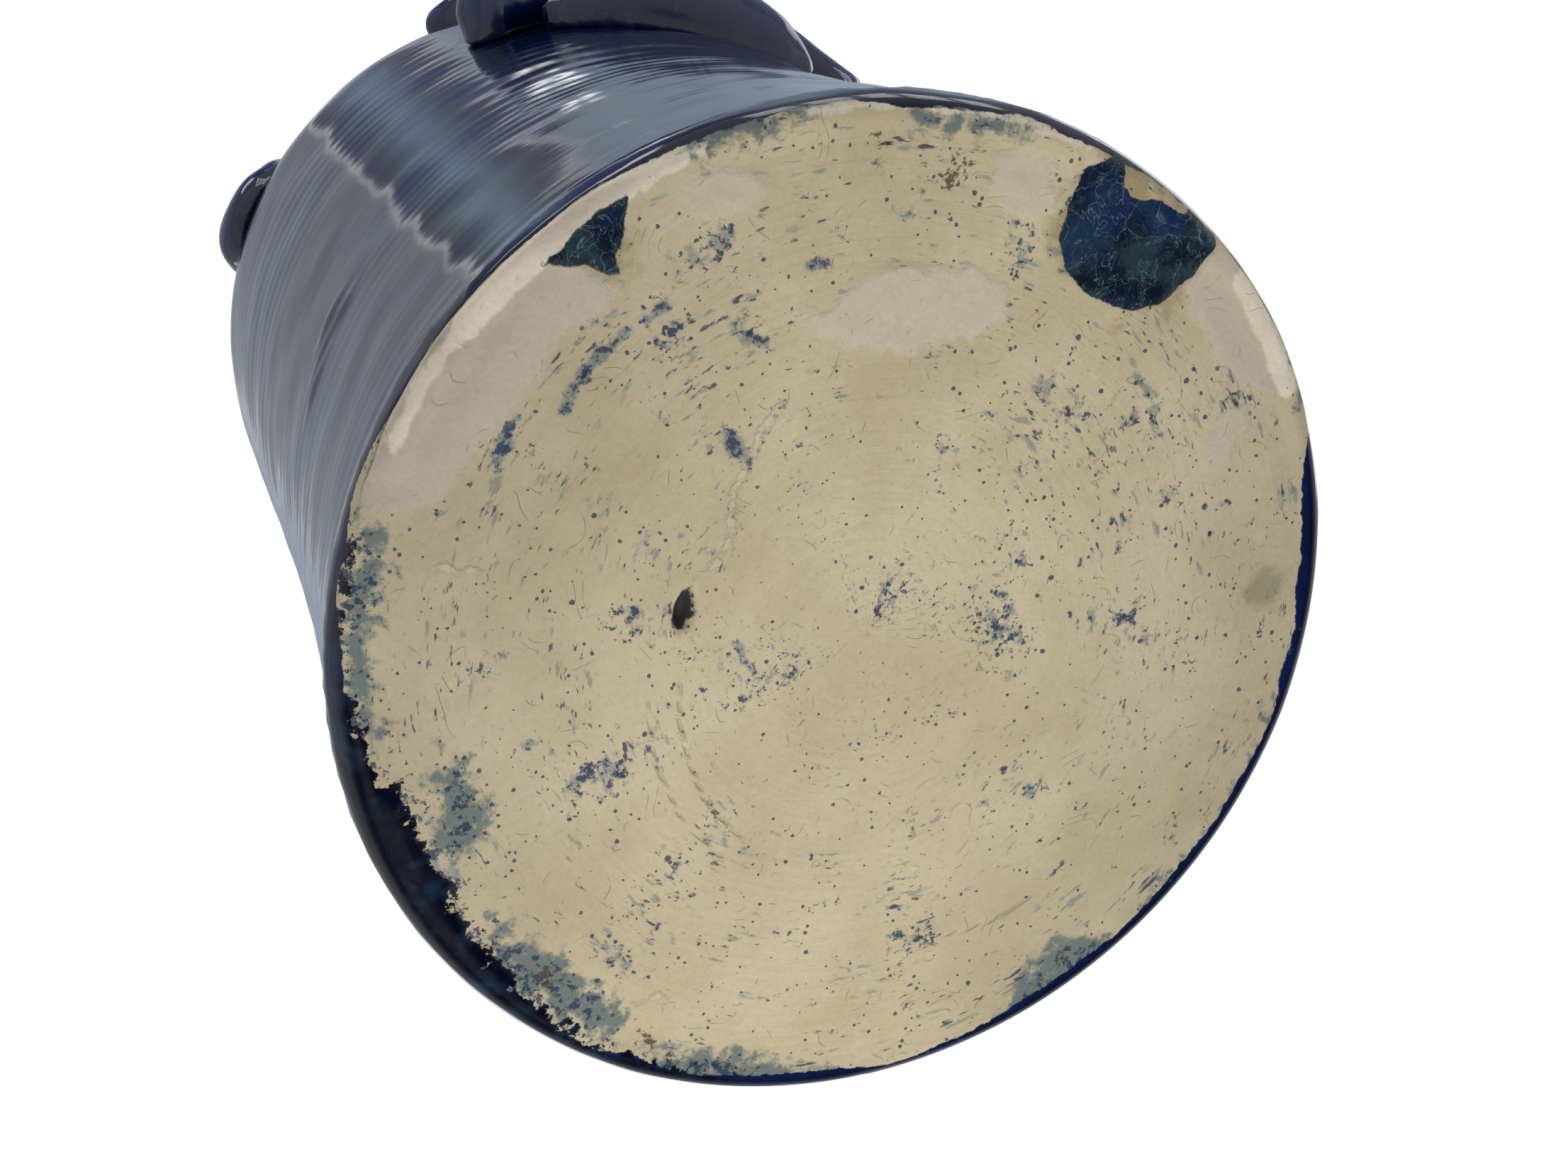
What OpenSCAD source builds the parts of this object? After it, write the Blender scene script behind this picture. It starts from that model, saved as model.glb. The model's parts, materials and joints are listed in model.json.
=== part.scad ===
// Wheel-thrown stoneware face jug. Millimetres, +Z up, the foot stands on z = 0 around the
// origin, the face looks along -Y and the handle is at +Y. Left and right are the jug's own.

/* [Body] */
// Diameter of the foot at its widest
foot_d = 131; // [124:1:138]
// Diameter of the upright wall
wall_d = 123.2; // [116:0.2:123.6]
// Height at which the flare of the foot runs out into the upright wall
flare_h = 95; // [60:1:105]
// Height at which the wall turns into the shoulder
wall_h = 156; // [153:1:160]
// Radius of the shoulder in section
shoulder_r = 51; // [48:0.5:54]
// Thickness of the thrown wall
wall_t = 7; // [5:0.5:9]
// Thickness of the floor
floor_t = 9; // [6:0.5:12]
// Radius on the outer edge of the foot
foot_round = 2.5; // [1:0.5:4]
// Radius inside, where the floor meets the wall
floor_round = 14; // [8:1:20]

/* [Neck] */
// Overall height, to the top of the lip
jug_h = 238; // [234:1:246]
// Outside diameter of the neck
neck_d = 48; // [44:0.5:51]
// Bore of the mouth
mouth_d = 34; // [30:0.5:36]
// Thickness of the rolled lip
lip_t = 9; // [7:0.5:10]
// Radius of the hollow between the shoulder and the neck
neck_round = 9; // [6:0.5:11]

/* [Handle] */
// Height at which the strap leaves the neck
handle_top_h = 220; // [217:0.5:222]
// How far the strap's middle line stands out from the jug's axis
handle_reach = 82; // [78:1:87]
// Radius of the strap's upper bend
handle_bend_r = 28; // [25:1:30]
// Angle at which the strap rises off the neck
handle_rise_angle = 8; // [0:1:12]
// Height at which the strap comes down on the wall
handle_foot_h = 143; // [138:1:145]
// Width of the strap at the neck
strap_top_w = 30; // [26:0.5:33]
// Width of the strap at its narrowest
strap_low_w = 23; // [20:0.5:26]
// Thickness of the strap
strap_t = 9.5; // [8:0.5:11]
// Depth of the two pulled grooves along the strap
groove_depth = 1.2; // [0.4:0.1:1.8]

/* [Chin and mouth] */
// Height of the chin's lower edge
chin_low_h = 120; // [112:1:121]
// Width of the chin
chin_w = 50; // [44:1:51]
// Height of the chin
chin_h = 14; // [12:0.5:15]
// How far the chin stands off the wall
chin_depth = 11; // [9:0.5:13]
// Width of the mouth between the middles of its corners
mouth_w = 72; // [66:1:74]
// Thickness of the lip rolls, up and down
lip_roll_h = 9; // [8:0.5:10]
// How far the lip rolls stand off the wall
lip_depth = 9; // [7:0.5:11]
// How far the corners of the mouth hang below its middle
mouth_droop = 9; // [6:0.5:10]
// Height of the open mouth at its middle
mouth_open_h = 11; // [9:0.5:12]
// Diameter of the knob at each corner of the mouth
corner_knob_d = 13.5; // [11:0.5:14.5]
// Width of a tooth
tooth_w = 6.5; // [5.5:0.25:7]
// How far the teeth stand off the wall
tooth_depth = 6.5; // [5:0.5:8]

/* [Nose] */
// Height of the nose along the wall
nose_h = 28; // [25:0.5:29]
// Width of the nose across its wings
nose_w = 28; // [24:0.5:30]
// Width of the nose's bridge
bridge_w = 9; // [7:0.5:10]
// How far the tip stands off the wall
nose_depth = 20; // [15:0.5:22]
// Diameter of a nostril
nostril_d = 4; // [3:0.25:4.5]

/* [Eyes] */
// Diameter of an eyeball
eyeball_d = 19.5; // [17:0.5:20.5]
// Depth to which an eyeball's centre is sunk below the wall
eyeball_sink = 2; // [1:0.25:3]
// Diameter of a pupil
pupil_d = 6.5; // [5:0.25:8]
// Thickness of a pupil
pupil_t = 0.9; // [0.6:0.1:1.4]
// Width of the eyelid rolls
lid_w = 5; // [4:0.25:5.5]
// How far the eyelid rolls stand off the wall
lid_depth = 7; // [6:0.25:8]
// Width of the brow rolls
brow_w = 7.5; // [6:0.5:8.5]
// How far the brow rolls stand off the wall
brow_depth = 7; // [5:0.5:8.5]

/* [Ears] */
// Height of an ear along the wall
ear_h = 34; // [30:1:38]
// Width of an ear
ear_w = 24; // [20:0.5:27]
// How far an ear's rim stands off the wall
ear_depth = 9.5; // [8:0.5:12]
// Depth of the hollow inside the ear's rim
ear_hollow = 5; // [3:0.5:6]
// Height of the middle of the ears, measured up along the wall and shoulder
ear_mid_h = 186; // [180:1:190]
// Angle of the ears round the jug from the middle of the face
ear_angle = 81; // [76:1:90]

/* [Joins] */
// Seam of slip between an applied piece and the wall
slip_t = 0.25; // [0.2:0.05:0.4]
// Gap between pieces that lie side by side
piece_gap = 0.6; // [0.5:0.05:0.9]

/* [Hidden] */
upper_teeth = ["upper_tooth_1", "upper_tooth_2", "upper_tooth_3", "upper_tooth_4", "upper_tooth_5"];
lower_teeth = ["lower_tooth_1", "lower_tooth_2", "lower_tooth_3", "lower_tooth_4", "lower_tooth_5"];

glaze_colour = "#1f2d5c";
bare_colour = "#e8e0cf";
dark_colour = "#10131c";
$fn = 96;

// Overrun of every cut
over = 1;
// The two sides of the face
LEFT = 1;
RIGHT = -1;

// Body
foot_r = foot_d / 2;
wall_r = wall_d / 2;
neck_r = neck_d / 2;
mouth_r = mouth_d / 2;
lip_r = lip_t / 2;
flare_in = foot_r - wall_r;
flare_r = (flare_h * flare_h + flare_in * flare_in) / (2 * flare_in);
flare_x = wall_r + flare_r;
shoulder_x = wall_r - shoulder_r;

// The hollow between shoulder and neck: its centre, its angle and where it starts and ends
hollow_x = neck_r + neck_round;
hollow_z = wall_h + sqrt(pow(shoulder_r + neck_round, 2) - pow(hollow_x - shoulder_x, 2));
hollow_angle = atan2(hollow_z - wall_h, hollow_x - shoulder_x);
hollow_end = [shoulder_x, wall_h] + shoulder_r * [cos(hollow_angle), sin(hollow_angle)];
hollow_s = wall_h + shoulder_r * hollow_angle * PI / 180;
neck_s = hollow_s + neck_round * hollow_angle * PI / 180;

// Lean, radius and height of the outer wall at a distance s up along it: the wall, the
// shoulder, the hollow and the neck
function lean(s) = s <= wall_h ? 0 : s <= hollow_s ? (s - wall_h) / shoulder_r * 180 / PI
    : max(hollow_angle - (s - hollow_s) / neck_round * 180 / PI, 0);
function seat_r(s) = s <= wall_h ? wall_r : s <= hollow_s ? shoulder_x + shoulder_r * cos(lean(s))
    : hollow_x - neck_round * cos(lean(s));
function seat_z(s) = s <= wall_h ? s : s <= hollow_s ? wall_h + shoulder_r * sin(lean(s))
    : hollow_z - neck_round * sin(lean(s)) + max(s - neck_s, 0);

// The point at an angle round the jug, a distance up the wall and a height off it
function at(angle, s, lift) = let(r = seat_r(s) + lift * cos(lean(s)))
    [r * sin(angle), -r * cos(angle), seat_z(s) + lift * sin(lean(s))];

// The same from a piece's home on the wall, [angle, s]: x runs round the jug and y up the wall
function spot(home, x, y, lift) = at(home.x + x / seat_r(home.y) * 180 / PI, home.y + y, lift);

// A smooth bump of height 1 that fades out over a width
function bump(x, width) = exp(-(x * x) / (width * width));

// 0 below a, 1 above b and smooth between
function ease(x, a, b) = let(t = min(max((x - a) / (b - a), 0), 1)) t * t * (3 - 2 * t);

// Both triangles of each cell between two rings of points
function band(first, second, sides) = [for (j = [0:sides - 1]) let(k = (j + 1) % sides)
    each [[first + j, second + j, second + k], [first + j, second + k, first + k]]];
function fan(tip, ring, sides, turned) = [for (j = [0:sides - 1]) let(k = (j + 1) % sides)
    turned ? [tip, ring + k, ring + j] : [tip, ring + j, ring + k]];

// A closed skin over rings of points, with a tip at each end
module skin(first_tip, rings, last_tip) {
    sides = len(rings[0]);
    count = len(rings);
    points = concat([first_tip], [for (ring = rings) each ring], [last_tip]);
    faces = concat(fan(0, 1, sides, false),
        [for (i = [0:count - 2]) each band(1 + i * sides, 1 + (i + 1) * sides, sides)],
        fan(len(points) - 1, 1 + (count - 1) * sides, sides, true));
    polyhedron(points = points, faces = faces);
}

// A pad pressed onto the wall. edge(a) is its outline round its home and lift(x, y) its height.
// tuck is the angle by which its side turns back under its widest line.
module pad(home, edge, lift, rings, sides, tuck_angle, seat_rings) {
    low = sin(tuck_angle);
    tops = [for (i = [1:rings]) let(turn = (90 + tuck_angle) * i / rings, out = sin(turn),
        high = i == rings ? 0 : (cos(turn) + low) / (1 + low))
        [for (j = [0:sides - 1]) let(e = edge(-j * 360 / sides) * out)
            spot(home, e.x, e.y, slip_t + lift(e.x, e.y) * high)]];
    seats = [for (i = [seat_rings - 1:-1:1]) [for (j = [0:sides - 1])
        let(e = edge(-j * 360 / sides) * cos(tuck_angle) * i / seat_rings)
            spot(home, e.x, e.y, slip_t)]];
    skin(spot(home, 0, 0, slip_t + lift(0, 0)), concat(tops, seats), spot(home, 0, 0, slip_t));
}

// A roll of clay laid along the wall and pressed down. path(t) is its middle line for t from 0
// to 1, half_w(t) its half width, depth(t) its height off the wall, and settle(p) moves a point
// clear of what the roll lies against.
module roll(home, path, half_w, depth, rings, sides, settle = function(p) p) {
    step = 1 / (4 * rings);
    middle_share = 0.42;
    function ring(t) = let(c = path(t), d = path(min(t + step, 1)) - path(max(t - step, 0)),
        side = [-d.y, d.x] / norm(d), w = half_w(t), h = depth(t))
        [for (j = [0:sides - 1]) let(a = j * 360 / sides, u = side * w * cos(a),
            up = h * (middle_share + (1 - middle_share) * sin(a)))
            settle(spot(home, c.x + u.x, c.y + u.y, slip_t + max(up, 0)))];
    function tip(t) = let(c = path(t)) settle(spot(home, c.x, c.y, slip_t + depth(t) * middle_share));
    along = [for (i = [0:rings]) (1 - cos(180 * i / rings)) / 2];
    skin(tip(0), [for (t = along) ring(t)], tip(1));
}

// Share of the full size near a roll's ends, which are round over the given share of its length
blunt_end_share = 0.06;
function round_end(t, share) = let(x = max(abs(2 * t - 1) - (1 - share), 0) / share)
    sqrt(max(1 - x * x, blunt_end_share));

// A closed outline between an ellipse (power 2) and a box, on half sizes a and b
function oval(angle, a, b, power) = let(c = cos(angle), s = sin(angle),
    r = pow(pow(abs(c) / a, power) + pow(abs(s) / b, power), -1 / power)) [r * c, r * s];

// Flare of the foot in section. Where the foot is the wider its side bends in, away from a
// circle outside the jug, and where the wall is the wider it bulges on a circle round the axis.
module flare_section(inset, base, corner_r) {
    rise = flare_h - base - corner_r;
    reach = flare_r + inset + corner_r;
    corner_x = flare_x - sign(flare_in) * sqrt(reach * reach - rise * rise);
    corner_h = corner_r * (1 + min(rise / reach, 0));
    difference() {
        if (flare_in > 0) difference() {
            translate([0, base]) square([foot_r - inset, flare_h - base]);
            translate([flare_x, flare_h]) circle(flare_r + inset, $fn = 720);
        }
        else intersection() {
            translate([0, base]) square([wall_r - inset, flare_h - base]);
            translate([flare_x, flare_h]) circle(-flare_r - inset, $fn = 720);
        }
        difference() {
            translate([corner_x, base - over]) square([corner_r + over, corner_h + over]);
            translate([corner_x, base + corner_r]) circle(corner_r);
        }
    }
}

// Wall, shoulder, hollow and neck in section, thicker outside by a skin
module upper_section(skin_t) {
    translate([0, flare_h]) square([wall_r + skin_t, wall_h - flare_h]);
    intersection() {
        translate([shoulder_x, wall_h]) circle(shoulder_r + skin_t);
        translate([0, wall_h]) square([wall_r + skin_t, shoulder_r + skin_t]);
    }
    translate([0, wall_h]) square([neck_r + skin_t, jug_h - lip_r - wall_h]);
    difference() {
        polygon([[shoulder_x, wall_h], hollow_end, [hollow_x, hollow_z], [shoulder_x, hollow_z]]);
        translate([hollow_x, hollow_z]) circle(neck_round - skin_t);
    }
}

// Outside of the thrown body in section
module outer_section() {
    flare_section(0, 0, foot_round);
    upper_section(0);
    translate([mouth_r + lip_r, jug_h - lip_r]) circle(lip_r);
}

// Inside of the thrown body in section
module inner_section() {
    inside_r = shoulder_r - wall_t;
    flare_section(wall_t, floor_t, floor_round);
    translate([0, flare_h]) square([wall_r - wall_t, wall_h - flare_h]);
    intersection() {
        translate([shoulder_x, wall_h]) circle(inside_r);
        translate([shoulder_x, wall_h]) square([inside_r, inside_r]);
    }
    translate([0, wall_h]) square([shoulder_x, inside_r]);
    translate([0, wall_h]) square([mouth_r, jug_h - wall_h + over]);
}

module body() {
    color(glaze_colour) rotate_extrude() difference() {
        outer_section();
        inner_section();
    }
}

// Handle: a straight start off the neck, a bend over the top and a long bend down to the wall.
// Its middle line lies in the plane x = 0 and is written as [y, z].
bend_mid = [handle_reach - handle_bend_r,
    handle_top_h + (handle_reach - handle_bend_r - neck_r) * tan(handle_rise_angle)
        - handle_bend_r / cos(handle_rise_angle)];
bend_start = bend_mid + handle_bend_r * [-sin(handle_rise_angle), cos(handle_rise_angle)];
neck_start = [neck_r, handle_top_h];
start_len = norm(bend_start - neck_start);
drop = [handle_reach - wall_r, bend_mid.y - handle_foot_h];
fall_angle = 2 * atan(drop.x / drop.y);
fall_r = drop.y / sin(fall_angle);
bend_angle = 90 + handle_rise_angle;
bend_len = handle_bend_r * bend_angle * PI / 180;
fall_len = fall_r * fall_angle * PI / 180;
strap_len = start_len + bend_len + fall_len;

// Heading of the strap at a distance d from the neck, as an angle above +Y
function heading(d) = d < start_len ? handle_rise_angle
    : d < start_len + bend_len ? handle_rise_angle - (d - start_len) / handle_bend_r * 180 / PI
    : -90 - (d - start_len - bend_len) / fall_r * 180 / PI;
function strap_mid(d) = let(a = heading(d)) d < start_len
    ? neck_start + d * [cos(a), sin(a)]
    : d < start_len + bend_len ? bend_mid + handle_bend_r * [-sin(a), cos(a)]
    : [handle_reach - fall_r, bend_mid.y] + fall_r * [-sin(a), cos(a)];

strap_sides = 28;
strap_rings = 34;
strap_power = 2.6;
narrow_from_share = 0.75;
end_flare_share = 0.28;
end_flare_from_share = 0.86;
root_len_share = 0.16;
thin_share = 0.12;
groove_at_share = 0.36;
groove_w_share = 0.13;
groove_from_share = 0.04;
groove_to_share = 0.98;
groove_fade_share = 0.1;

// Outline of the strap at a share t of its length: x across, y away from the jug
function strap_width(t) = strap_top_w + (strap_low_w - strap_top_w) * ease(t, 0, narrow_from_share)
    + strap_low_w * end_flare_share * ease(t, end_flare_from_share, 1);
function strap_thick(t) = strap_t * (1 + end_flare_share * (1 - ease(t, 0, root_len_share))
    - thin_share * ease(t, root_len_share, narrow_from_share));
function groove_fade(t) = ease(t, groove_from_share, groove_from_share + groove_fade_share)
    * (1 - ease(t, groove_to_share - groove_fade_share, groove_to_share));
function groove_cut(x_share) = groove_depth * (bump(x_share - groove_at_share, groove_w_share)
    + bump(x_share + groove_at_share, groove_w_share));
function strap_point(t, a) = let(p = oval(a, strap_width(t) / 2, strap_thick(t) / 2, strap_power))
    [p.x, p.y - (p.y > 0 ? groove_fade(t) * groove_cut(2 * p.x / strap_width(t)) : 0)];

// A point of the strap beside the upright wall is kept clear of it
function off_wall(p) = let(r = norm([p.x, p.y]), out = max(wall_r + slip_t, r) / r)
    p.z < wall_h ? [p.x * out, p.y * out, p.z] : p;

// The strap's end points slide along its heading until they lie on the neck or on the wall
function onto(p, h, r) = let(b = p.y * h.x, c = p.x * p.x + p.y * p.y - r * r,
    k = (-b - h.x / abs(h.x) * -sqrt(max(b * b - h.x * h.x * c, 0))) / (h.x * h.x))
    [p.x, p.y + k * h.x, p.z + k * h.y];
function strap_ring(i, share) = let(t = i / strap_rings, d = strap_len * t, m = strap_mid(d), a = heading(d))
    [for (j = [0:strap_sides - 1]) let(q = strap_point(t, -j * 360 / strap_sides) * share,
        p = [q.x, m.x - q.y * sin(a), m.y + q.y * cos(a)])
        i == 0 ? onto(p, [cos(a), sin(a)], neck_r + slip_t)
        : i == strap_rings ? onto(p, [cos(a), sin(a)], wall_r + slip_t) : off_wall(p)];

module handle() {
    first = strap_mid(0);
    last = strap_mid(strap_len);
    end_shares = [1 / 4, 1 / 2, 3 / 4];
    color(glaze_colour) skin([0, neck_r + slip_t, first.y], concat(
        [for (share = end_shares) strap_ring(0, share)],
        [for (i = [0:strap_rings]) strap_ring(i, 1)],
        [for (k = [len(end_shares) - 1:-1:0]) strap_ring(strap_rings, end_shares[k])]),
        [0, wall_r + slip_t, last.y]);
}

// Chin
chin_mid_h = chin_low_h + chin_h / 2;
chin_side_share = 0.86;
chin_power = 2.3;
module chin() {
    color(glaze_colour) pad([0, chin_mid_h], function(a) oval(a, chin_w / 2, chin_h / 2, chin_power),
        function(x, y) chin_depth * (chin_side_share + (1 - chin_side_share) * cos(180 * x / chin_w)),
        rings = 8, sides = 40, tuck_angle = 18, seat_rings = 5);
}

// Mouth: two rolls that hang at the corners, the lower one with a knob at each end
lower_mid_h = chin_low_h + chin_h + piece_gap + lip_roll_h / 2;
upper_mid_h = lower_mid_h + mouth_open_h + lip_roll_h;
knob_r = corner_knob_d / 2;
knob_start_share = 0.8;
knob_depth_share = 0.12;
mouth_home = [0, lower_mid_h];
function lower_line(x) = -mouth_droop * pow(2 * x / mouth_w, 2);
upper_end_y = lower_line(mouth_w / 2) + knob_r + piece_gap + lip_roll_h / 2;
upper_half_w = mouth_w / 2 - lip_roll_h / 2;
function upper_line(x) = let(top = upper_mid_h - lower_mid_h)
    top - (top - upper_end_y) * pow(x / upper_half_w, 2);

lip_end_share = 0.12;
bow_share = 0.12;

module lower_lip() {
    function knob(t) = ease(abs(2 * t - 1), knob_start_share, 1);
    color(glaze_colour) roll(mouth_home,
        function(t) let(x = (t - 1 / 2) * mouth_w) [x, lower_line(x)],
        function(t) (lip_roll_h / 2 + (knob_r - lip_roll_h / 2) * knob(t)) * round_end(t, lip_end_share),
        function(t) lip_depth * (1 + knob_depth_share * knob(t)) * round_end(t, lip_end_share),
        rings = 34, sides = 16);
}

module upper_lip() {
    color(glaze_colour) roll(mouth_home,
        function(t) let(x = (2 * t - 1) * upper_half_w) [x, upper_line(x)],
        function(t) lip_roll_h / 2 * (1 - bow_share * bump(2 * t - 1, bow_share))
            * round_end(t, lip_end_share),
        function(t) lip_depth * round_end(t, lip_end_share), rings = 30, sides = 16);
}

// Teeth: two rows that meet halfway up the open mouth
teeth_in_row = len(upper_teeth);
tooth_pitch = tooth_w + piece_gap;
tooth_power = 4;
function tooth_x(i) = (i - (teeth_in_row - 1) / 2) * tooth_pitch;
// The open mouth over a tooth runs from the higher of its sides below to the lower one above
function mouth_floor(x) = let(near_x = max(abs(x) - tooth_w / 2, 0),
    slope = 8 * mouth_droop * near_x / (mouth_w * mouth_w))
    lower_line(near_x) + lip_roll_h / 2 * sqrt(1 + slope * slope);
function mouth_roof(x) = let(far_x = abs(x) + tooth_w / 2,
    slope = 2 * (upper_mid_h - lower_mid_h - upper_end_y) * far_x / (upper_half_w * upper_half_w))
    upper_line(far_x) - lip_roll_h / 2 * sqrt(1 + slope * slope);
function mouth_mid(x) = (mouth_floor(x) + mouth_roof(x)) / 2;

module tooth(x, low, high) {
    half_h = (high - low) / 2;
    color(bare_colour) pad([x / seat_r(lower_mid_h) * 180 / PI, lower_mid_h + (low + high) / 2],
        function(a) oval(a, tooth_w / 2, half_h, tooth_power), function(px, py) tooth_depth,
        rings = 4, sides = 16, tuck_angle = 4, seat_rings = 2);
}

module upper_tooth(i) {
    x = tooth_x(i);
    tooth(x, mouth_mid(x) + piece_gap / 2, mouth_roof(x) - piece_gap / 2);
}

module lower_tooth(i) {
    x = tooth_x(i);
    tooth(x, mouth_floor(x) + piece_gap / 2, mouth_mid(x) - piece_gap / 2);
}

// Nose: a ridge that rises from the bridge to the tip, with a wing at each side of the tip
nose_low_h = upper_mid_h + lip_roll_h / 2 + piece_gap;
nose_home = [0, nose_low_h + nose_h / 2];
tip_drop_share = 0.2;
wing_out_share = 0.32;
wing_drop_share = 0.28;
wing_w_share = 0.17;
wing_rise_share = 0.3;
wing_from_share = -0.85;
bridge_from_share = 0.35;
bridge_fall_share = 0.62;
bridge_w_share = 0.62;
tip_w_share = 0.98;
side_share = 0.26;
nostril_in_share = 0.2;
nostril_up_share = 0.34;
nostril_depth_share = 0.3;
nostril_angle = 32;
tip_y = -nose_h * tip_drop_share;
wing_at = [nose_w * wing_out_share, -nose_h * wing_drop_share];
nostril_x = nose_w * nostril_in_share;

function nose_edge(a) = let(s = sin(a), top = ease(s, wing_from_share, bridge_from_share))
    [(nose_w + (bridge_w - nose_w) * top) / 2 * cos(a), nose_h / 2 * s];
function wing(x, y) = nose_depth * wing_rise_share * bump(norm([x, y] - wing_at), nose_w * wing_w_share);
function nose_lift(x, y) = let(up = (y - tip_y) / (nose_h / 2 - tip_y), high = ease(up, 0, 1),
    ridge = nose_depth * (1 - bridge_fall_share * high),
    ridge_w = bridge_w * (tip_w_share + (bridge_w_share - tip_w_share) * high))
    ridge * (side_share + (1 - side_share) * bump(x, ridge_w)) + wing(x, y) + wing(-x, y);

module nose() {
    color(glaze_colour) difference() {
        pad(nose_home, function(a) nose_edge(a), function(x, y) nose_lift(x, y),
            rings = 11, sides = 36, tuck_angle = 12, seat_rings = 4);
        for (side = [LEFT, RIGHT])
            translate(spot(nose_home, side * nostril_x, -nose_h / 2, nose_depth * nostril_up_share))
                rotate([-nostril_angle, 0, 0])
                    cylinder(d = nostril_d, h = nose_h * nostril_depth_share, center = true, $fn = 32);
    }
}

// Eyes: each ball is sunk in the wall, between an upper and a lower roll that lap over it
eyeball_r = eyeball_d / 2;
ball_seat_r = sqrt(eyeball_r * eyeball_r - eyeball_sink * eyeball_sink);
lid_lap_share = 0.3;
lid_lap = lid_w * lid_lap_share;
lid_path_r = ball_seat_r + lid_w / 2 - lid_lap;
eye_up_share = 0.76;
eye_mid_h = nose_low_h + nose_h * eye_up_share;
// The lower roll just clears the nose all the way down its side
eye_reach = lid_path_r + lid_w / 2 + 2 * piece_gap;
eye_x = max([for (a = [-90:3:90]) let(p = nose_edge(a), rise = p.y - (eye_mid_h - nose_home.y))
    abs(rise) < eye_reach ? p.x + sqrt(eye_reach * eye_reach - rise * rise) : 0]);
function eye_home(side) = [side * eye_x / seat_r(eye_mid_h) * 180 / PI, eye_mid_h];
function eye_mid(side) = spot(eye_home(side), 0, 0, -eyeball_sink);
function off_ball(p, mid) = let(d = p - mid, clear_r = eyeball_r + slip_t)
    norm(d) < clear_r ? mid + d * clear_r / norm(d) : p;
// Angles of the rolls round the eye, from the outer corner over the top
lid_open_angle = 9;
lid_end_share = 0.2;
function eye_arc(side, r, a) = r * [side * cos(a), sin(a)];

module lid(side, from, to) {
    color(glaze_colour) roll(eye_home(side),
        function(t) eye_arc(side, lid_path_r, from + (to - from) * t),
        function(t) lid_w / 2 * round_end(t, lid_end_share),
        function(t) lid_depth * round_end(t, lid_end_share),
        rings = 20, sides = 12, settle = function(p) off_ball(p, eye_mid(side)));
}

module eyeball(side) {
    color(bare_colour) difference() {
        translate(eye_mid(side)) sphere(r = eyeball_r);
        rotate_extrude() upper_section(slip_t);
    }
}

module pupil(side) {
    color(dark_colour) difference() {
        intersection() {
            translate(eye_mid(side)) sphere(r = eyeball_r + slip_t + pupil_t);
            translate(eye_mid(side)) rotate([0, 0, eye_home(side).x]) rotate([90 - lean(eye_mid_h), 0, 0])
                cylinder(d = pupil_d, h = eyeball_d);
        }
        translate(eye_mid(side)) sphere(r = eyeball_r + slip_t);
    }
}

// Brows: rolls that run round the upper lids
brow_path_r = lid_path_r + lid_w / 2 + piece_gap + brow_w / 2;
brow_outer_angle = 22;
brow_inner_angle = 128;
brow_tail_share = 0.78;
brow_end_share = 0.22;
module brow(side) {
    function swell(t) = (brow_tail_share + (1 - brow_tail_share) * t) * round_end(t, brow_end_share);
    color(glaze_colour) roll(eye_home(side), function(t)
        eye_arc(side, brow_path_r, brow_outer_angle + (brow_inner_angle - brow_outer_angle) * t),
        function(t) brow_w / 2 * swell(t), function(t) brow_depth * swell(t), rings = 22, sides = 14);
}

// Ears: an egg-shaped pad with a raised rim, a hollow inside it, a knob in front and a lobe
lobe_narrow_share = 0.2;
rim_back_share = 0.06;
rim_rise_share = 0.18;
hollow_at_share = [-0.12, 0.16];
hollow_w_share = 0.6;
hollow_long_share = 0.8;
lobe_at_share = -0.75;
lobe_w_share = 0.4;
knob_at_share = [-0.55, -0.05];
knob_w_share = 0.24;
knob_rise_share = 0.45;
function ear_edge(a, side) = let(s = sin(a), back = side * cos(a) > 0 ? 1 : -1)
    ear_w / 2 * cos(a) * (1 - lobe_narrow_share * ease(-s, 0, 1)) * (1 + rim_back_share * back) * [1, 0]
        + ear_h / 2 * s * [0, 1];
function ear_lift(x, y, side) = let(u = side * x / (ear_w / 2), v = y / (ear_h / 2),
    from_hollow = [u, v] - hollow_at_share,
    in_hollow = bump(norm([from_hollow.x / hollow_long_share, from_hollow.y]), hollow_w_share),
    in_lobe = bump(v - lobe_at_share, lobe_w_share),
    in_knob = bump(norm([u, v] - knob_at_share), knob_w_share))
    ear_depth * (1 - rim_rise_share + rim_rise_share * u) - ear_hollow * in_hollow
        + ear_hollow * knob_rise_share * in_knob * (1 - in_lobe);

module ear(side) {
    color(glaze_colour) pad([side * ear_angle, ear_mid_h], function(a) ear_edge(a, side),
        function(x, y) ear_lift(x, y, side), rings = 11, sides = 36, tuck_angle = 22, seat_rings = 3);
}

body();
handle();
ear(LEFT);  // left_ear
ear(RIGHT);  // right_ear
nose();
brow(LEFT);  // left_brow
brow(RIGHT);  // right_brow
lid(LEFT, lid_open_angle, 180 - lid_open_angle);  // left_upper_lid
lid(RIGHT, lid_open_angle, 180 - lid_open_angle);  // right_upper_lid
lid(LEFT, -lid_open_angle, lid_open_angle - 180);  // left_lower_lid
lid(RIGHT, -lid_open_angle, lid_open_angle - 180);  // right_lower_lid
eyeball(LEFT);  // left_eyeball
eyeball(RIGHT);  // right_eyeball
pupil(LEFT);  // left_pupil
pupil(RIGHT);  // right_pupil
upper_lip();
lower_lip();
chin();
for (i = [0:teeth_in_row - 1]) {
    upper_tooth(i);
    lower_tooth(i);
}
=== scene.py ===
"""Dressed model of a wheel-thrown stoneware face jug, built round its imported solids.

Everything is in metres in the frame of the solids: +Z up the jug's axis, -Y the way the face looks.
Sizes in the classes are written in millimetres and turned to metres where a mesh is made.
"""

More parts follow.
